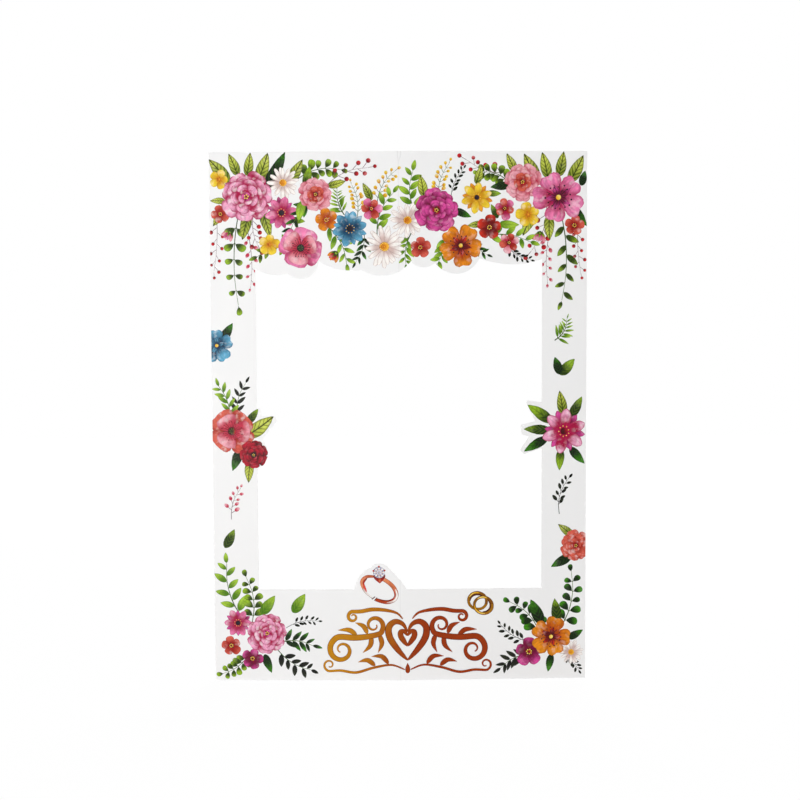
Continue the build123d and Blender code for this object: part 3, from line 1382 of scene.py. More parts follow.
def rings_of(kind: Bloom, outer: Ink, inner: Ink, heart: Ink) -> list[Ring]:
    """Rings of petals that make up a flower, from the back to the front.

    Args:
        kind: The kind of flower.
        outer: Ink of the outer petals.
        inner: Ink of the inner petals.
        heart: Ink of the middle.

    Returns:
        The rings in painting order.
    """
    pollen = Ink.POLLEN
    recipes = {
        Bloom.ROSETTE: [
            Ring(7, 0.66, 0.74, 0.34, outer, tip=0.4, notch=0.05, ruffle=0.1),
            Ring(6, 0.60, 0.70, 0.24, outer, tip=0.4, notch=0.06, ruffle=0.1, turn=21),
            Ring(6, 0.52, 0.58, 0.15, outer, tip=0.4, notch=0.05, ruffle=0.08, turn=5),
            Ring(5, 0.42, 0.48, 0.08, inner, ruffle=0.07, turn=33),
            Ring(4, 0.30, 0.36, 0.03, inner, turn=12),
            Ring(3, 0.19, 0.24, 0.00, heart, tip=0.5, ruffle=0.04, turn=50),
            dots(5, 0.06, 0.04, pollen),
        ],
        Bloom.BLOSSOM: [
            Ring(5, 0.96, 0.86, 0.04, outer, root=0.95, tip=0.38, notch=0.08, ruffle=0.1),
            Ring(5, 0.52, 0.30, 0.06, inner, root=0.5, tip=1.5, ruffle=0.03),
            Ring(15, 0.40, 0.022, 0.05, heart, root=0.1, tip=0.1, ruffle=0.02, unevenness=0.2),
            dots(15, 0.065, 0.42, heart, unevenness=0.15),
            dots(1, 0.20, -0.10, pollen, 0.02),
        ],
        Bloom.DAISY: [
            Ring(13, 0.80, 0.25, 0.20, outer, root=0.5, tip=0.4, turn=13, unevenness=0.1),
            Ring(12, 0.74, 0.23, 0.18, outer, root=0.5, tip=0.4, unevenness=0.1),
            Ring(1, 0.50, 0.48, -0.25, inner, root=0.5, tip=0.5, ruffle=0.04),
            dots(13, 0.075, 0.16, pollen),
            dots(6, 0.07, 0.05, heart),
        ],
        Bloom.STAR: [
            Ring(6, 0.86, 0.40, 0.08, inner, root=0.6, tip=0.8, turn=30),
            Ring(6, 0.94, 0.50, 0.05, outer, root=0.8, tip=0.62),
            dots(1, 0.34, -0.17, heart, 0.04),
            dots(9, 0.055, 0.20, pollen),
        ],
        Bloom.POPPY: [
            Ring(4, 0.96, 1.20, 0.02, outer, root=0.8, tip=0.36, ruffle=0.13, turn=45),
            Ring(3, 0.80, 0.98, 0.00, inner, root=0.8, tip=0.38, ruffle=0.12),
            Ring(20, 0.30, 0.022, 0.12, heart, root=0.1, tip=0.1, ruffle=0.01, unevenness=0.15),
            dots(20, 0.05, 0.40, heart, unevenness=0.12),
            dots(1, 0.36, -0.18, heart, 0.03),
            Ring(7, 0.12, 0.03, 0.02, Ink.STALK, root=0.3, tip=0.3, ruffle=0.0),
        ],
        Bloom.CUP: [
            Ring(5, 0.94, 0.84, 0.05, outer, root=0.75, tip=0.42, ruffle=0.06),
            Ring(5, 0.36, 0.18, 0.05, inner, root=0.5, tip=1.3, ruffle=0.0),
            dots(1, 0.26, -0.13, inner, 0.02),
            dots(7, 0.10, 0.10, heart),
        ],
        Bloom.FLORET: [
            Ring(3, 0.92, 0.72, 0.05, outer, tip=0.42, ruffle=0.06, unevenness=0.12),
            Ring(3, 0.84, 0.66, 0.05, inner, tip=0.42, ruffle=0.06, turn=60, unevenness=0.12),
            Ring(6, 0.30, 0.16, 0.04, heart, root=0.6, tip=0.9, ruffle=0.02, turn=25),
            dots(1, 0.28, -0.14, heart, 0.03),
            dots(5, 0.08, 0.06, pollen),
        ],
        Bloom.BUD: [
            Ring(3, 1.25, 0.62, 0.25, outer, root=0.6, tip=0.75, spread=58, wander=0.03),
            Ring(2, 1.15, 0.55, 0.25, inner, root=0.6, tip=0.8, spread=24, wander=0.03),
            Ring(3, 0.85, 0.30, 0.10, Ink.GREEN, root=0.6, tip=1.1, spread=84, wander=0.03),
            Ring(1, 0.42, 0.40, 0.0, Ink.GREEN, root=0.5, tip=0.5),
        ],
    }
    return recipes[kind]


class Motif:
    """Something printed on the sheet."""

    @property
    def stance(self) -> tuple[Point, float]:
        """Where its outlines stand, and their turn in degrees."""
        return (0.0, 0.0), 0.0

    @property
    def label(self) -> str:
        """What the motif is called in piece names."""
        return self.kind.name.lower()

    def outlines(self, tools: Tools, seed: int) -> list[Mesh]:
        """Draw the motif.

        Args:
            tools: The drawing tools.
            seed: Fixes its unevenness.

        Returns:
            Its outlines, from the back to the front.
        """
        raise NotImplementedError


@dataclass(frozen=True)
class Flower(Motif):
    """A flower on the sheet."""

    kind: Bloom
    x: float
    z: float
    across: float
    turn: float
    outer: Ink
    inner: Ink
    heart: Ink = Ink.DARK

    @property
    def stance(self) -> tuple[Point, float]:
        """The flower's middle and its turn."""
        return (self.x, self.z), self.turn

    def outlines(self, tools: Tools, seed: int) -> list[Mesh]:
        """Draw the flower's rings."""
        rings = rings_of(self.kind, self.outer, self.inner, self.heart)
        return [ring.draw(tools, self.across / 2.0, seed + layer) for layer, ring in enumerate(rings)]


@dataclass(frozen=True)
class Growth:
    """How a kind of sprig grows, in millimetres and degrees."""

    leaves: int
    pair: int
    length: float
    width: float
    leaf: Ink
    stem: Ink = Ink.STALK
    root: float = 0.6
    tip: float = 0.8
    stalk: float = 1.2
    splay: float = 46.0
    last_size: float = 0.7
    bare: float = 0.15
    stem_width: float = 0.9
    bend: float = 0.06
    wander: float = 0.2
    unevenness: float = 0.14


class Sprigs(Enum):
    """Kinds of sprig."""

    VINE = Growth(9, 1, 15.0, 6.8, Ink.GREEN)
    BAY = Growth(9, 2, 15.0, 5.6, Ink.DEEP, tip=0.9, splay=40.0)
    ROUND = Growth(11, 2, 12.0, 8.4, Ink.GREEN, root=0.85, tip=0.45, stalk=1.4, splay=58.0)
    OLIVE = Growth(9, 1, 12.0, 4.6, Ink.LIME, splay=42.0)
    FERN = Growth(15, 2, 11.0, 2.8, Ink.LIME, tip=0.9, splay=52.0, last_size=0.45)
    BERRY = Growth(9, 1, 5.4, 5.4, Ink.BERRY, Ink.STEM, 0.5, 0.5, 8.0, 44.0, 0.85, 0.2, 0.6, 0.0)
    SPRAY = Growth(13, 2, 5.0, 4.2, Ink.SUNNY, Ink.STALK, 0.6, 0.45, 5.0, 50.0, 0.7, 0.2, 0.6, 0.0)
    BLUSHES = Growth(9, 1, 6.5, 4.6, Ink.BLUSH, Ink.STEM, 0.55, 0.7, 5.0, 46.0, 0.7, 0.2, 0.6, 0.0)
    TWIG = Growth(11, 1, 6.0, 3.0, Ink.TWIG, Ink.TWIG, 0.6, 0.7, 2.0, 44.0, 0.7, 0.25, 0.5, 0.0)


@dataclass(frozen=True)
class Sprig(Motif):
    """A sprig on the sheet, from the foot of its stem to its end."""

    kind: Sprigs
    foot: Point
    end: Point
    bow: float = 0.12
    scale: float = 1.0
    leaf: Ink | None = None
    bow_places = (0.33, 0.68)
    bow_share = 0.85

    def outlines(self, tools: Tools, seed: int) -> list[Mesh]:
        """Draw the sprig along its stem.

        Args:
            tools: The drawing tools.
            seed: Fixes its unevenness.

        Returns:
            The whole sprig as one mesh.
        """
        growth = self.kind.value
        foot, end = Vector(self.foot), Vector(self.end)
        way = end - foot
        aside = Vector((-way.y, way.x)) * self.bow
        path = [foot, *(foot + way * share + aside * self.bow_share for share in self.bow_places), end]
        return [tools.sprig.run([tuple(place) for place in path], {
            "Leaves": growth.leaves, "Pair": growth.pair, "Bare": growth.bare,
            "Length": growth.length * self.scale, "Width": growth.width * self.scale,
            "Root": growth.root, "Tip": growth.tip, "Bend": growth.bend, "Stalk": growth.stalk * self.scale,
            "Splay": math.radians(growth.splay), "Wander": growth.wander, "Unevenness": growth.unevenness,
            "Last Size": growth.last_size, "Stem Width": growth.stem_width * self.scale, "Seed": seed,
            "Leaf Ink": tools.finish.ink(self.leaf or growth.leaf), "Stem Ink": tools.finish.ink(growth.stem),
        })]


@dataclass(frozen=True)
class Leaf(Motif):
    """A single leaf on the sheet, from its root to its tip."""

    root: Point
    tip: Point
    width: float = 0.42
    ink: Ink = Ink.LIME
    bend: float = 0.08
    label = "leaf"
    ends = (0.6, 0.95)
    ruffle = 0.03
    corners = 36

    @property
    def stance(self) -> tuple[Point, float]:
        """Where the leaf is rooted. Its way is in the outline."""
        return self.root, 0.0

    def outlines(self, tools: Tools, seed: int) -> list[Mesh]:
        """Draw the leaf as a ring of one petal."""
        way = Vector(self.tip) - Vector(self.root)
        return [tools.ring.run([], {
            "Petals": 1, "Length": way.length, "Width": way.length * self.width, "Root": self.ends[0],
            "Tip": self.ends[1], "Bend": self.bend, "Ruffle": way.length * self.ruffle,
            "Spin": math.atan2(way.y, way.x), "Seed": seed, "Corners": self.corners,
            "Ink": tools.finish.ink(self.ink),
        })]


@dataclass
class Tools:
    """The drawing tools and the finishes that they draw with."""

    finish: Finish
    ring: PetalRing = field(default_factory=PetalRing)
    sprig: LeafySprig = field(default_factory=LeafySprig)
    pen: PenLine = field(default_factory=PenLine)


@dataclass
class Garland:
    """The flower print of one part of the sheet, listed in painting order."""

    region: str
    seed: int
    motifs: list[Motif]
    seed_step = 17

    def draw(self, tools: Tools) -> Drawing:
        """Paint all motifs.

        Args:
            tools: The drawing tools.

        Returns:
            The drawing.
        """
        drawing = Drawing(self.region, self.seed)
        for number, motif in enumerate(self.motifs):
            for mesh in motif.outlines(tools, self.seed + self.seed_step * number):
                drawing.paint(f"{motif.label}_{number:02d}", mesh, *motif.stance)
        return drawing


def garlands() -> list[Garland]:
    """The flower print, part by part."""
    return [
        Garland("top", 11, [*left_bouquet(), *right_bouquet(), *middle_garland()]),
        Garland("left", 211, left_stile()),
        Garland("right", 311, right_stile()),
        Garland("lower_left", 411, lower_left()),
        Garland("lower_right", 511, lower_right()),
    ]


def left_bouquet() -> list[Motif]:
    """Upper left corner: one large flower among smaller ones, veined leaves, berries and hanging sprigs."""
    return [
        Sprig(Sprigs.ROUND, (-178, 526), (-179, 424), -0.05),
        Sprig(Sprigs.BLUSHES, (-169, 512), (-165, 446), 0.05, 0.9),
        Sprig(Sprigs.BERRY, (-160, 530), (-157, 492), -0.1),
        Sprig(Sprigs.BERRY, (-202, 524), (-206, 462), 0.03, 0.75),
        Sprig(Sprigs.ROUND, (-112, 564), (-64, 574), 0.12, 0.95),
        Leaf((-188, 560), (-208, 588)),
        Leaf((-178, 568), (-186, 593)),
        Leaf((-168, 568), (-162, 593)),
        Leaf((-156, 562), (-142, 592)),
        Leaf((-148, 552), (-122, 592), 0.3, Ink.DEEP),
        Leaf((-122, 560), (-104, 584)),
        Leaf((-192, 540), (-209, 542)),
        Leaf((-190, 536), (-208, 514)),
        Leaf((-166, 526), (-176, 498)),
        Leaf((-152, 530), (-140, 500), 0.36, Ink.LIME, -0.08),
        Leaf((-120, 520), (-104, 516), 0.45, Ink.GREEN),
        Flower(Bloom.CUP, -199, 564, 21, 0, Ink.SUNNY, Ink.AMBER, Ink.AMBER),
        Flower(Bloom.BUD, -186, 508, 17, 235, Ink.BLUSH, Ink.ROSE),
        Flower(Bloom.CUP, -198, 526, 20, 40, Ink.CORAL, Ink.CRIMSON, Ink.POLLEN),
        Flower(Bloom.STAR, -130, 527, 36, 10, Ink.ROSE, Ink.MAGENTA, Ink.DARK),
        Flower(Bloom.DAISY, -128, 560, 34, 0, Ink.PALE, Ink.AMBER, Ink.AMBER),
        Flower(Bloom.ROSETTE, -169, 545, 56, 10, Ink.PEONY, Ink.PEONY, Ink.MAGENTA),
    ]


def right_bouquet() -> list[Motif]:
    """Upper right corner: like the left one, with other flowers."""
    return [
        Sprig(Sprigs.VINE, (181, 526), (182, 428), 0.06, 1.1),
        Sprig(Sprigs.BLUSHES, (169, 508), (166, 450), -0.05, 0.9),
        Sprig(Sprigs.BERRY, (165, 535), (148, 484), 0.1),
        Sprig(Sprigs.BERRY, (200, 520), (203, 460), -0.03, 0.8),
        Sprig(Sprigs.BERRY, (124, 570), (76, 584), 0.1),
        Sprig(Sprigs.ROUND, (122, 560), (90, 570), -0.15, 0.9),
        Leaf((190, 560), (208, 588)),
        Leaf((178, 566), (186, 593)),
        Leaf((166, 564), (162, 593)),
        Leaf((154, 560), (142, 592)),
        Leaf((130, 570), (122, 592)),
        Leaf((124, 556), (102, 556), ink=Ink.DEEP),
        Leaf((152, 530), (136, 502)),
        Leaf((168, 524), (166, 496)),
        Leaf((192, 534), (208, 510), ink=Ink.DEEP),
        Leaf((203, 556), (209, 572), 0.5, Ink.DEEP),
        Flower(Bloom.CUP, 196, 512, 22, 10, Ink.CORAL, Ink.CRIMSON, Ink.POLLEN),
        Flower(Bloom.CUP, 144, 524, 27, 30, Ink.SUNNY, Ink.AMBER, Ink.AMBER),
        Flower(Bloom.BUD, 158, 506, 17, 260, Ink.BLUSH, Ink.ROSE),
        Flower(Bloom.ROSETTE, 138, 560, 42, 12, Ink.BLUSH, Ink.CORAL, Ink.CRIMSON),
        Flower(Bloom.BLOSSOM, 178, 543, 58, 40, Ink.ROSE, Ink.MAGENTA, Ink.DARK),
    ]


def middle_garland() -> list[Motif]:
    """Between the corners, over the lobes of the window's upper edge."""
    return [
        Sprig(Sprigs.VINE, (-114, 490), (-157, 479), -0.12, 0.85),
        Sprig(Sprigs.BERRY, (-84, 552), (-34, 576), 0.12),
        Sprig(Sprigs.BAY, (-96, 540), (-122, 500), -0.1, 0.85),
        Sprig(Sprigs.OLIVE, (-84, 516), (-58, 471), 0.12, 1.25, Ink.FRESH),
        Sprig(Sprigs.FERN, (-60, 524), (-68, 552), 0.1, 1.1, Ink.FRESH),
        Sprig(Sprigs.SPRAY, (-46, 520), (-52, 558), -0.1),
        Sprig(Sprigs.SPRAY, (-24, 534), (-4, 572), 0.12),
        Sprig(Sprigs.VINE, (-24, 500), (-6, 548), 0.12, 1.0, Ink.FRESH),
        Sprig(Sprigs.BAY, (-38, 504), (-48, 472), 0.1, 0.7),
        Sprig(Sprigs.VINE, (20, 524), (16, 572), 0.12, 1.0, Ink.FRESH),
        Sprig(Sprigs.SPRAY, (44, 540), (56, 580), 0.1),
        Sprig(Sprigs.OLIVE, (14, 504), (8, 470), -0.1, 1.1, Ink.FRESH),
        Sprig(Sprigs.TWIG, (58, 540), (72, 574), 0.1),
        Sprig(Sprigs.VINE, (94, 500), (146, 494), 0.1, 1.0, Ink.FRESH),
        Sprig(Sprigs.VINE, (50, 502), (43, 470), 0.1, 0.85, Ink.FRESH),
        Sprig(Sprigs.TWIG, (118, 492), (146, 474), -0.1),
        Sprig(Sprigs.BAY, (78, 500), (98, 480), -0.1, 0.7),
        Leaf((-104, 556), (-96, 578), ink=Ink.GREEN),
        Leaf((-78, 556), (-58, 560)),
        Leaf((-106, 540), (-113, 518), 0.45, Ink.FRESH),
        Leaf((-30, 540), (-38, 560), 0.4),
        Leaf((62, 530), (80, 520), ink=Ink.DEEP),
        Leaf((28, 544), (26, 568), 0.45),
        Leaf((112, 514), (134, 511), ink=Ink.FRESH),
        Leaf((98, 548), (114, 546), 0.45, Ink.GREEN),
        Leaf((94, 514), (76, 513)),
        Leaf((110, 520), (104, 536), 0.45, Ink.GREEN),
        Leaf((86, 558), (94, 578)),
        Flower(Bloom.CUP, -144, 492, 24, 8, Ink.SUNNY, Ink.AMBER, Ink.AMBER),
        Flower(Bloom.ROSETTE, -92, 547, 38, 0, Ink.BLUSH, Ink.CORAL, Ink.CRIMSON),
        Flower(Bloom.CUP, -80, 519, 25, 30, Ink.ORANGE, Ink.POPPY, Ink.POLLEN),
        Flower(Bloom.POPPY, -109, 488, 46, 20, Ink.ROSE, Ink.BLUSH, Ink.DARK),
        Flower(Bloom.BUD, -68, 484, 17, 230, Ink.ORANGE, Ink.POPPY),
        Flower(Bloom.FLORET, -30, 531, 26, 0, Ink.ROSE, Ink.CORAL, Ink.CRIMSON),
        Flower(Bloom.STAR, -54, 509, 40, 14, Ink.SKY, Ink.SKY, Ink.DARK),
        Flower(Bloom.DAISY, 10, 518, 38, 0, Ink.PALE, Ink.AMBER, Ink.AMBER),
        Flower(Bloom.DAISY, -16, 489, 44, 8, Ink.PALE, Ink.AMBER, Ink.AMBER),
        Flower(Bloom.CUP, 24, 488, 23, 16, Ink.CORAL, Ink.CRIMSON, Ink.POLLEN),
        Flower(Bloom.ROSETTE, 42, 529, 48, 0, Ink.MAGENTA, Ink.MAGENTA, Ink.CRIMSON),
        Flower(Bloom.STAR, 87, 543, 36, 20, Ink.SUNNY, Ink.AMBER, Ink.DARK),
        Flower(Bloom.FLORET, 118, 531, 25, 40, Ink.ROSE, Ink.CORAL, Ink.CRIMSON),
        Flower(Bloom.FLORET, 123, 493, 24, 15, Ink.BLUSH, Ink.CORAL, Ink.CRIMSON),
        Flower(Bloom.CUP, 101, 510, 27, 10, Ink.POPPY, Ink.CRIMSON, Ink.POLLEN),
        Flower(Bloom.BLOSSOM, 69, 490, 47, 60, Ink.ORANGE, Ink.POPPY, Ink.DARK),
    ]


def left_stile() -> list[Motif]:
    """Left side: a flower cut by the edge, the cluster on the tab and small sprigs."""
    return [
        Leaf((-200, 384), (-184, 404), ink=Ink.DEEP),
        Flower(Bloom.BLOSSOM, -204, 380, 36, 20, Ink.SKY, Ink.SKY, Ink.DARK),
        Sprig(Sprigs.BAY, (-182, 300), (-172, 338), 0.1, 0.75, Ink.TWIG),
        Sprig(Sprigs.OLIVE, (-190, 296), (-202, 334), -0.1, 1.1, Ink.FRESH),
        Leaf((-172, 278), (-139.5, 298)),
        Leaf((-172, 292), (-157, 308), 0.4, Ink.GREEN),
        Leaf((-178, 264), (-190, 240), ink=Ink.DEEP),
        Leaf((-168, 250), (-172, 226)),
        Flower(Bloom.POPPY, -188, 284, 50, 0, Ink.CORAL, Ink.BLUSH, Ink.CRIMSON),
        Flower(Bloom.ROSETTE, -164, 257, 32, 20, Ink.CRIMSON, Ink.CRIMSON, Ink.DARK),
        Sprig(Sprigs.BLUSHES, (-190, 184), (-180, 218), 0.1, 0.85),
        Leaf((-198, 152), (-185, 172), 0.45, Ink.GREEN),
    ]


def right_stile() -> list[Motif]:
    """Right side: small sprigs, the flower on the tab with a leaf in each lobe, and a flower at the edge."""
    return [
        Sprig(Sprigs.FERN, (174, 384), (188, 408), -0.15, 1.1, Ink.FRESH),
        Leaf((180, 346), (198, 362), 0.5, Ink.GREEN),
        Leaf((180, 346), (176, 366), 0.5, Ink.DEEP),
        Leaf((167, 275), (139, 260.5), 0.34, Ink.DEEP, 0.04),
        Leaf((170, 283), (139.5, 286), 0.36, Ink.GREEN, 0.04),
        Leaf((172, 292), (144, 313.5), 0.36, Ink.GREEN, 0.04),
        Leaf((192, 298), (207, 320), 0.4, Ink.GREEN),
        Leaf((184, 300), (182, 328), 0.4),
        Leaf((192, 264), (207, 244), 0.4, Ink.DEEP),
        Leaf((182, 262), (178, 238), 0.4, Ink.GREEN),
        Flower(Bloom.STAR, 185, 282, 50, 20, Ink.PEONY, Ink.MAGENTA, Ink.CRIMSON),
        Sprig(Sprigs.TWIG, (180, 188), (190, 228), 0.12, 1.25),
        Leaf((194, 140), (170, 130), ink=Ink.DEEP),
        Leaf((196, 162), (180, 178)),
        Flower(Bloom.ROSETTE, 199, 152, 36, 0, Ink.CORAL, Ink.CORAL, Ink.CRIMSON),
    ]


def lower_left() -> list[Motif]:
    """Lower left corner."""
    return [
        Sprig(Sprigs.VINE, (-178, 70), (-196, 134), 0.1, 1.2, Ink.FRESH),
        Sprig(Sprigs.ROUND, (-168, 66), (-174, 118), -0.1, 0.95),
        Sprig(Sprigs.BAY, (-136, 44), (-100, 40), 0.1, 1.0),
        Sprig(Sprigs.VINE, (-140, 36), (-102, 12), -0.1, 0.9, Ink.TWIG),
        Sprig(Sprigs.TWIG, (-130, 60), (-94, 68), 0.1),
        Sprig(Sprigs.ROUND, (-172, 30), (-201, 8), 0.1, 0.85),
        Leaf((-122, 78), (-106, 98), 0.5, Ink.FRESH),
        Leaf((-154, 30), (-148, 8), ink=Ink.DEEP),
        Leaf((-158, 76), (-140, 96), 0.45, Ink.FRESH),
        Flower(Bloom.CUP, -168, 25, 24, 0, Ink.MAGENTA, Ink.CRIMSON, Ink.POLLEN),
        Flower(Bloom.STAR, -184, 66, 32, 0, Ink.ROSE, Ink.MAGENTA, Ink.DARK),
        Flower(Bloom.CUP, -192, 40, 23, 30, Ink.CORAL, Ink.CRIMSON, Ink.POLLEN),
        Flower(Bloom.ROSETTE, -151, 54, 46, 10, Ink.PEONY, Ink.PEONY, Ink.MAGENTA),
    ]


def lower_right() -> list[Motif]:
    """Lower right corner."""
    return [
        Sprig(Sprigs.ROUND, (182, 58), (194, 122), -0.1, 1.0, Ink.DEEP),
        Sprig(Sprigs.ROUND, (158, 52), (125, 88), -0.12, 1.0, Ink.DEEP),
        Sprig(Sprigs.TWIG, (150, 42), (114, 62), 0.1, 1.3),
        Sprig(Sprigs.BAY, (144, 28), (114, 13), -0.1, 0.9, Ink.TWIG),
        Sprig(Sprigs.TWIG, (182, 30), (202, 10), 0.1, 1.1),
        Leaf((190, 46), (208, 54), 0.45, Ink.DEEP),
        Leaf((160, 62), (150, 92), ink=Ink.DEEP),
        Leaf((172, 28), (166, 8), ink=Ink.DEEP),
        Leaf((178, 64), (177, 92), ink=Ink.GREEN),
        Flower(Bloom.DAISY, 194, 30, 28, 0, Ink.PALE, Ink.AMBER, Ink.AMBER),
        Flower(Bloom.CUP, 146, 31, 33, 20, Ink.MAGENTA, Ink.CRIMSON, Ink.POLLEN),
        Flower(Bloom.BLOSSOM, 171, 48, 44, 0, Ink.ORANGE, Ink.POPPY, Ink.DARK),
    ]


def spiral(middle: Point, start: float, end: float, first: float, last: float) -> list[Point]:
    """Points along a spiral.

    Args:
        middle: Its centre.
        start: Radius at the first angle.
        end: Radius at the last angle.
        first: First angle in degrees.
        last: Last angle in degrees.

    Returns:
        Points about SPIRAL_STEP degrees apart.
    """
    steps = max(int(abs(last - first) / SPIRAL_STEP), 2)
    points = []
    for step in range(steps + 1):
        share = step / steps
        radius = start + (end - start) * share
        angle = math.radians(first + (last - first) * share)
        points.append((middle[0] + radius * math.cos(angle), middle[1] + radius * math.sin(angle)))
    return points


@dataclass
class Flourish:
    """Gold scrolls and a heart in the middle of the lower rail, and rings beside them."""

    middle: Point = (8.0, 49.0)
    size: float = 1.08
    hair: float = 1.3
    stone_ring: Point = (-24.2, 104.6)
    ring_across: float = 21.4
    ring_up: float = 12.4
    ring_tilt: float = -28.0
    nicks: Point = (266.0, 274.0)
    nick_slant: float = 5.0
    nick_reach: Point = (1.7, 2.8)
    nick_widths: Point = (0.8, 0.4)
    stone: Point = (-23.8, 123.6)
    stone_across: float = 13.2
    bands: tuple[Point, Point] = ((87.4, 90.2), (94.0, 85.0))
    band_across: float = 10.4
    band_up: float = 9.4
    band_tilt: float = -20.0
    band_width: float = 3.2
    soft_ends: Point = (0.6, 0.6)
    steps: int = 6
    region: str = "flourish"
    seed: int = 611

    def pen(
        self, drawing: Drawing, tools: Tools, motif: str, points: list[Point], widths: Point, ends: Point,
        ink: Ink = Ink.GOLD,
    ) -> None:
        """Draw a pen stroke, with its width and swell, and how slowly it swells at both ends."""
        drawing.paint(motif, tools.pen.run(points, {
            "Steps": self.steps * len(points), "Hair": widths[0], "Swell": widths[1],
            "Root": ends[0], "Tip": ends[1], "Ink": tools.finish.ink(ink),
        }), even=True)

    def mirrored(self, points: list[Point], side: int) -> list[Point]:
        """Points about the middle, on one side of it."""
        return [(self.middle[0] + side * self.size * x, self.middle[1] + self.size * z) for x, z in points]

    def scrolls(self, drawing: Drawing, tools: Tools) -> None:
        """Paint the heart and the scrolls on both sides of it."""
        scroll = [*spiral((35, 13), 2.4, 10.5, -560, -120), (43, 1.0), (56, 0.0)]
        scroll += spiral((69, -13), 14.0, 2.8, 80, -420)
        curl = [(5, 20), (11, 26), (22, 29), (36, 30), (48, 28), *spiral((57, 22), 6.0, 1.8, 110, -330)]
        swash = [(3, -34), (17, -29), (36, -32), (54, -37), (70, -35), *spiral((82, -29), 6.5, 1.8, -90, 300)]
        heart = [(0, -24), (10, -13), (18.5, 0), (19.5, 11), (13, 17), (5, 14.5), (0, 6)]
        seed = [(0, -9), (4, -3.5), (7, 1.5), (7, 6), (3.5, 6.5), (0, 2)]
        drops = (
            [(42, 4), (46, 12), (55, 16)], [(53, 2), (61, 8), (73, 8)], [(38, 3), (39, -8), (47, -16)],
            [(30, 4), (27, -6), (31, -16)], [(34, -30), (42, -24), (52, -26)],
            [(20, -28), (27, -20), (38, -20)],
        )
        strokes = [
            ("swash", swash, (self.hair, 1.8), (0.7, 0.7)),
            ("curl", curl, (self.hair, 3.4), (0.9, 0.9)),
            *(("scroll", drop, (0.4, 5.4), (0.6, 1.1)) for drop in drops),
            ("scroll", scroll, (self.hair, 5.8), (1.0, 1.0)),
            ("heart", heart, (self.hair, 6.6), (0.7, 0.8)),
            ("heart", seed, (self.hair, 5.2), (0.7, 0.8)),
        ]
        for side, name in ((-1, "left"), (1, "right")):
            for part, points, widths, ends in strokes:
                self.pen(drawing, tools, f"{part}_{name}", self.mirrored(points, side), widths, ends)
        drop = self.mirrored([(0, -27), (0, -32), (0, -38)], 1)
        self.pen(drawing, tools, "drop", drop, (0.4, 5.2), (1.1, 0.6))

    @staticmethod
    def oval(middle: Point, across: float, up: float, tilt: float, first: float, sweep: float) -> list[Point]:
        """Points round an oval.

        Args:
            middle: Its middle.
            across: Half its length.
            up: Half its width.
            tilt: Its tilt, in degrees.
            first: Where it starts, in degrees.
            sweep: How far it goes round, in degrees.

        Returns:
            The points.
        """
        cosine, sine = math.cos(math.radians(tilt)), math.sin(math.radians(tilt))
        points = [(across * x, up * z) for x, z in spiral((0.0, 0.0), 1.0, 1.0, first, first + sweep)]
        return [(middle[0] + x * cosine - z * sine, middle[1] + x * sine + z * cosine) for x, z in points]

    def hoop(self, inwards: float, first: float, sweep: float) -> list[Point]:
        """Points along the hoop of the ring with a stone, or inside it."""
        across, up = self.ring_across - inwards, self.ring_up - inwards
        return self.oval(self.stone_ring, across, up, self.ring_tilt, first, sweep)

    def ring_with_stone(self, drawing: Drawing, tools: Tools) -> None:
        """Paint the hoop with two nicks in its foot, then the cut stone over the prongs that hold it."""
        for inwards, first, sweep, widths, ink in (
            (1.2, 150.0, 88.0, (0.2, 4.2), Ink.POPPY), (-0.5, 205.0, 62.0, (0.5, 0.4), Ink.UMBER),
            (0.2, 205.0, 62.0, (0.9, 0.9), Ink.PALE), (0.0, 112.0, 112.0, (0.8, 2.8), Ink.ROSE_GOLD),
            (0.0, 276.0, 206.0, (3.6, 1.2), Ink.ROSE_GOLD),
            (-0.9, -48.0, 90.0, (0.1, 2.4), Ink.PALE), (1.5, 280.0, 125.0, (0.1, 0.9), Ink.POPPY),
        ):
            path = self.hoop(inwards, first, sweep)
            self.pen(drawing, tools, "stone_ring", path, widths, self.soft_ends, ink)
        outside, inside = self.nick_reach
        for first in self.nicks:
            nick = [self.hoop(-outside, first, 1.0)[0], self.hoop(inside, first + self.nick_slant, 1.0)[0]]
            self.pen(drawing, tools, "stone_ring", nick, self.nick_widths, self.soft_ends, Ink.UMBER)
        for ring in (
            facets(1, 1.9, 2.05, 0.0, Ink.POPPY, root=0.5, tip=1.0, turn=274.0),
            facets(1, 0.8, 0.5, 0.85, Ink.ROSE_GOLD, root=0.6, tip=0.9, turn=274.0),
            facets(1, 2.0, 2.0, -1.0, Ink.STONE, root=0.5, tip=0.5),
            facets(8, 0.64, 0.42, 0.34, Ink.PALE, root=0.8, tip=1.0),
            facets(8, 0.46, 0.3, 0.5, Ink.STONE, root=0.9, tip=0.5, turn=22.5),
            facets(8, 0.42, 0.36, 0.0, Ink.STONE, root=1.0, tip=0.3, turn=22.5),
            facets(4, 0.34, 0.12, 0.0, Ink.PALE, root=0.4, tip=1.0, turn=30.0),
            facets(3, 0.36, 0.34, 0.8, Ink.POPPY, root=0.5, tip=0.5, turn=92.0, spread=144.0),
        ):
            drawing.paint("stone_ring", ring.draw(tools, self.stone_across / 2.0, self.seed), self.stone)

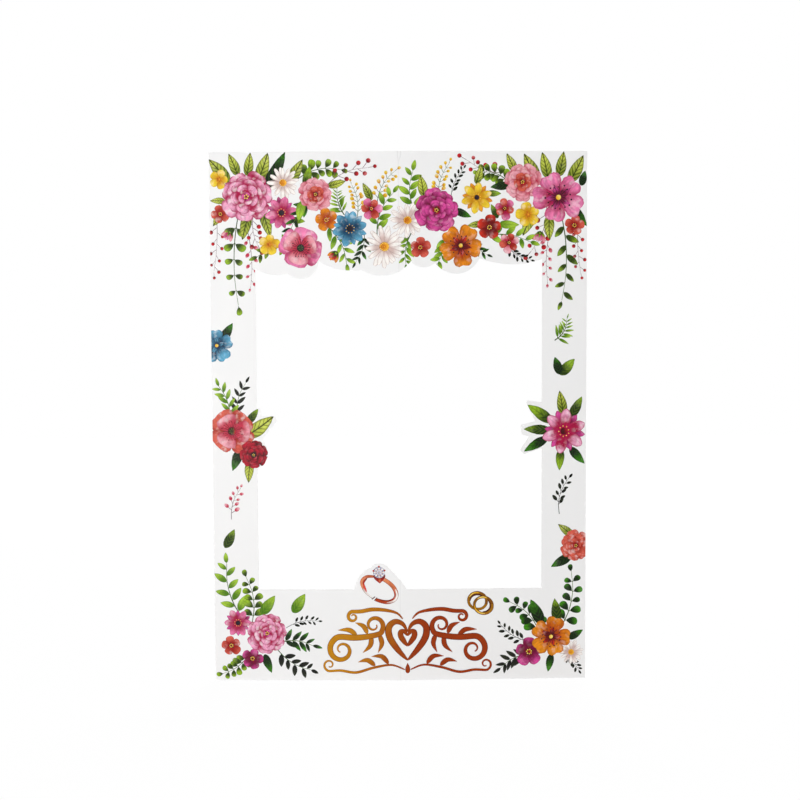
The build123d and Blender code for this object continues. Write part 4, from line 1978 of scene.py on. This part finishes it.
    def linked_bands(self, drawing: Drawing, tools: Tools) -> None:
        """Paint two bands that pass through each other."""
        left, right = self.bands
        plain, wall, gleam = (self.band_width, 0.0), (0.1, 3.2), (0.1, 1.2)
        for middle, inwards, first, sweep, widths, ink in (
            (left, 1.7, 55.0, 150.0, wall, Ink.UMBER), (left, 0.0, 0.0, 390.0, plain, Ink.BRASS),
            (right, 1.7, -80.0, 150.0, wall, Ink.UMBER), (right, 0.0, 0.0, 390.0, plain, Ink.BRASS),
            (left, 0.0, -4.0, 56.0, plain, Ink.BRASS), (left, 0.0, 95.0, 80.0, gleam, Ink.POLLEN),
            (right, 0.0, 80.0, 70.0, gleam, Ink.POLLEN), (right, 0.0, 200.0, 100.0, gleam, Ink.POLLEN),
        ):
            across, up = self.band_across - inwards, self.band_up - inwards
            path = self.oval(middle, across, up, self.band_tilt, first, sweep)
            self.pen(drawing, tools, "linked_bands", path, widths, self.soft_ends, ink)

    def draw(self, tools: Tools) -> Drawing:
        """Paint all of it.

        Args:
            tools: The drawing tools.

        Returns:
            The drawing.
        """
        drawing = Drawing(self.region, self.seed)
        self.scrolls(drawing, tools)
        self.ring_with_stone(drawing, tools)
        self.linked_bands(drawing, tools)
        return drawing


@dataclass(frozen=True)
class Lamp:
    """A soft studio lamp."""

    name: str
    at: tuple[float, float, float]
    wide: float
    tall: float
    watts: float


@dataclass
class Studio:
    """Plain pale floor, soft light and the camera at the photograph's angle."""

    target: tuple[float, float, float] = (0.0007, 0.0, 0.3182)
    distance: float = 1.4
    azimuth: float = -0.457
    elevation: float = 3.517
    roll: float = -0.265
    lens_mm: float = 56.21
    floor_side: float = 6.0
    ambient: float = 0.405
    floor_show: float = 0.92
    floor_glow: float = 1.04
    floor_fade: Point = (1.0, 2.4)
    floor_tone: Colour = (0.9, 0.9, 0.9, 1.0)
    lamps: tuple[Lamp, ...] = (
        Lamp("key", (-1.15, -2.15, 0.2), 1.2, 0.3, 31.0),
        Lamp("fill", (1.4, -1.9, 0.9), 1.6, 1.6, 2.5),
        Lamp("rim", (0.5, 1.8, 1.4), 1.4, 1.4, 14.0),
    )

    def camera(self) -> None:
        """Place the camera and make it the scene's own."""
        turn, rise, roll = (math.radians(angle) for angle in (self.azimuth, self.elevation, self.roll))
        back = Vector((math.sin(turn) * math.cos(rise), -math.cos(turn) * math.cos(rise), math.sin(rise)))
        right = Vector((0.0, 0.0, 1.0)).cross(back).normalized()
        up = back.cross(right)
        level_right = right * math.cos(roll) + up * math.sin(roll)
        level_up = up * math.cos(roll) - right * math.sin(roll)
        data = bpy.data.cameras.new("camera")
        data.lens = self.lens_mm
        data.sensor_width = SENSOR_WIDTH_MM
        eye = set_out("camera", data)
        axes = Matrix((level_right, level_up, back)).transposed().to_4x4()
        eye.matrix_world = Matrix.Translation(Vector(self.target) + back * self.distance) @ axes
        bpy.context.scene.camera = eye

    def light(self) -> None:
        """Hang the lamps and set the world."""
        for lamp in self.lamps:
            data = bpy.data.lights.new(lamp.name, "AREA")
            data.shape = "RECTANGLE"
            data.size = lamp.wide
            data.size_y = lamp.tall
            data.energy = lamp.watts
            fixture = set_out(lamp.name, data)
            aim = (Vector(self.target) - Vector(lamp.at)).to_track_quat("-Z", "Y")
            fixture.matrix_world = Matrix.Translation(lamp.at) @ aim.to_matrix().to_4x4()
        world = bpy.data.worlds.new("studio")
        bpy.context.scene.world = world
        world.use_nodes = True
        world.node_tree.nodes.clear()
        bench = NodeBench(world.node_tree)
        dim = bench.put("ShaderNodeBackground", {"Color": WHITE, "Strength": self.ambient})
        white = bench.put("ShaderNodeBackground", {"Color": WHITE, "Strength": 1.0})
        shown = self.seen_directly(bench)
        mixed = bench.put("ShaderNodeMixShader", {0: shown, 1: dim.outputs[0], 2: white.outputs[0]})
        bench.put("ShaderNodeOutputWorld", {"Surface": mixed.outputs[0]})

    @staticmethod
    def seen_directly(bench: NodeBench) -> Socket:
        """1 for rays that show the backdrop: from the camera, in gloss or through something clear."""
        rays = bench.put("ShaderNodeLightPath").outputs
        mirrored = bench.math("MAXIMUM", rays["Is Glossy Ray"], rays["Is Transmission Ray"])
        return bench.math("MAXIMUM", rays["Is Camera Ray"], mirrored)

    def floor(self) -> None:
        """Pale floor that keeps the shadow and runs out to plain white away from it."""
        half = self.floor_side / 2.0
        corners = [(-half, -half, 0.0), (half, -half, 0.0), (half, half, 0.0), (-half, half, 0.0)]
        mesh = bpy.data.meshes.new("floor")
        mesh.from_pydata(corners, [], [(0, 1, 2, 3)])
        floor = set_out("floor", mesh)
        material = bpy.data.materials.new("studio_floor")
        material.use_nodes = True
        material.node_tree.nodes.clear()
        bench = NodeBench(material.node_tree)
        matt = bench.put("ShaderNodeBsdfDiffuse", {"Color": self.floor_tone})
        glow = bench.put("ShaderNodeEmission", {"Color": WHITE, "Strength": self.floor_glow})
        where = bench.where()
        away = bench.put("ShaderNodeVectorMath", {0: where}, operation="LENGTH").outputs["Value"]
        white = bench.ease(away, *self.floor_fade, self.floor_show, 1.0)
        shown = bench.times(self.seen_directly(bench), white)
        mixed = bench.put("ShaderNodeMixShader", {0: shown, 1: matt.outputs[0], 2: glow.outputs[0]})
        bench.put("ShaderNodeOutputMaterial", {"Surface": mixed.outputs[0]})
        mesh.materials.append(material)

    def build(self) -> None:
        """Set up camera, light and floor."""
        bpy.context.scene.view_settings.view_transform = "Standard"
        self.camera()
        self.light()
        self.floor()


def dress_sheet(film: Material, card: Material) -> None:
    """Give the frame's own sheets their finish, film or card."""
    for name, node in frame["nodes"].items():
        node.data.materials.clear()
        node.data.materials.append(film if name.endswith("film") else card)
        log.info("dressed %s", name)


def main() -> None:
    """Build the looks around the frame."""
    logging.basicConfig(level=logging.INFO, format="%(message)s")
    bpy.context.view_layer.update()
    face = PrintedFace()
    finish = Finish()
    film, card = finish.white_film(), finish.card_stock()
    dress_sheet(film, card)
    for strip in (
        FoldStrip("top_fold", ("top_crease", "top_crease_film")),
        FoldStrip("bottom_fold", ("bottom_crease", "bottom_crease_film")),
    ):
        strip.dress(strip.build(face), face, film, card)
        log.info("built %s", strip.name)
    tools = Tools(finish)
    layer = PrintLayer(face)
    for garland in garlands():
        layer.press(garland.draw(tools))
        log.info("printed %s, %d pieces so far", garland.region, len(layer.pieces))
    layer.press(Flourish().draw(tools))
    log.info("printed the flourish, %d pieces in all", len(layer.pieces))
    Studio().build()


if __name__ == "__main__":
    main()
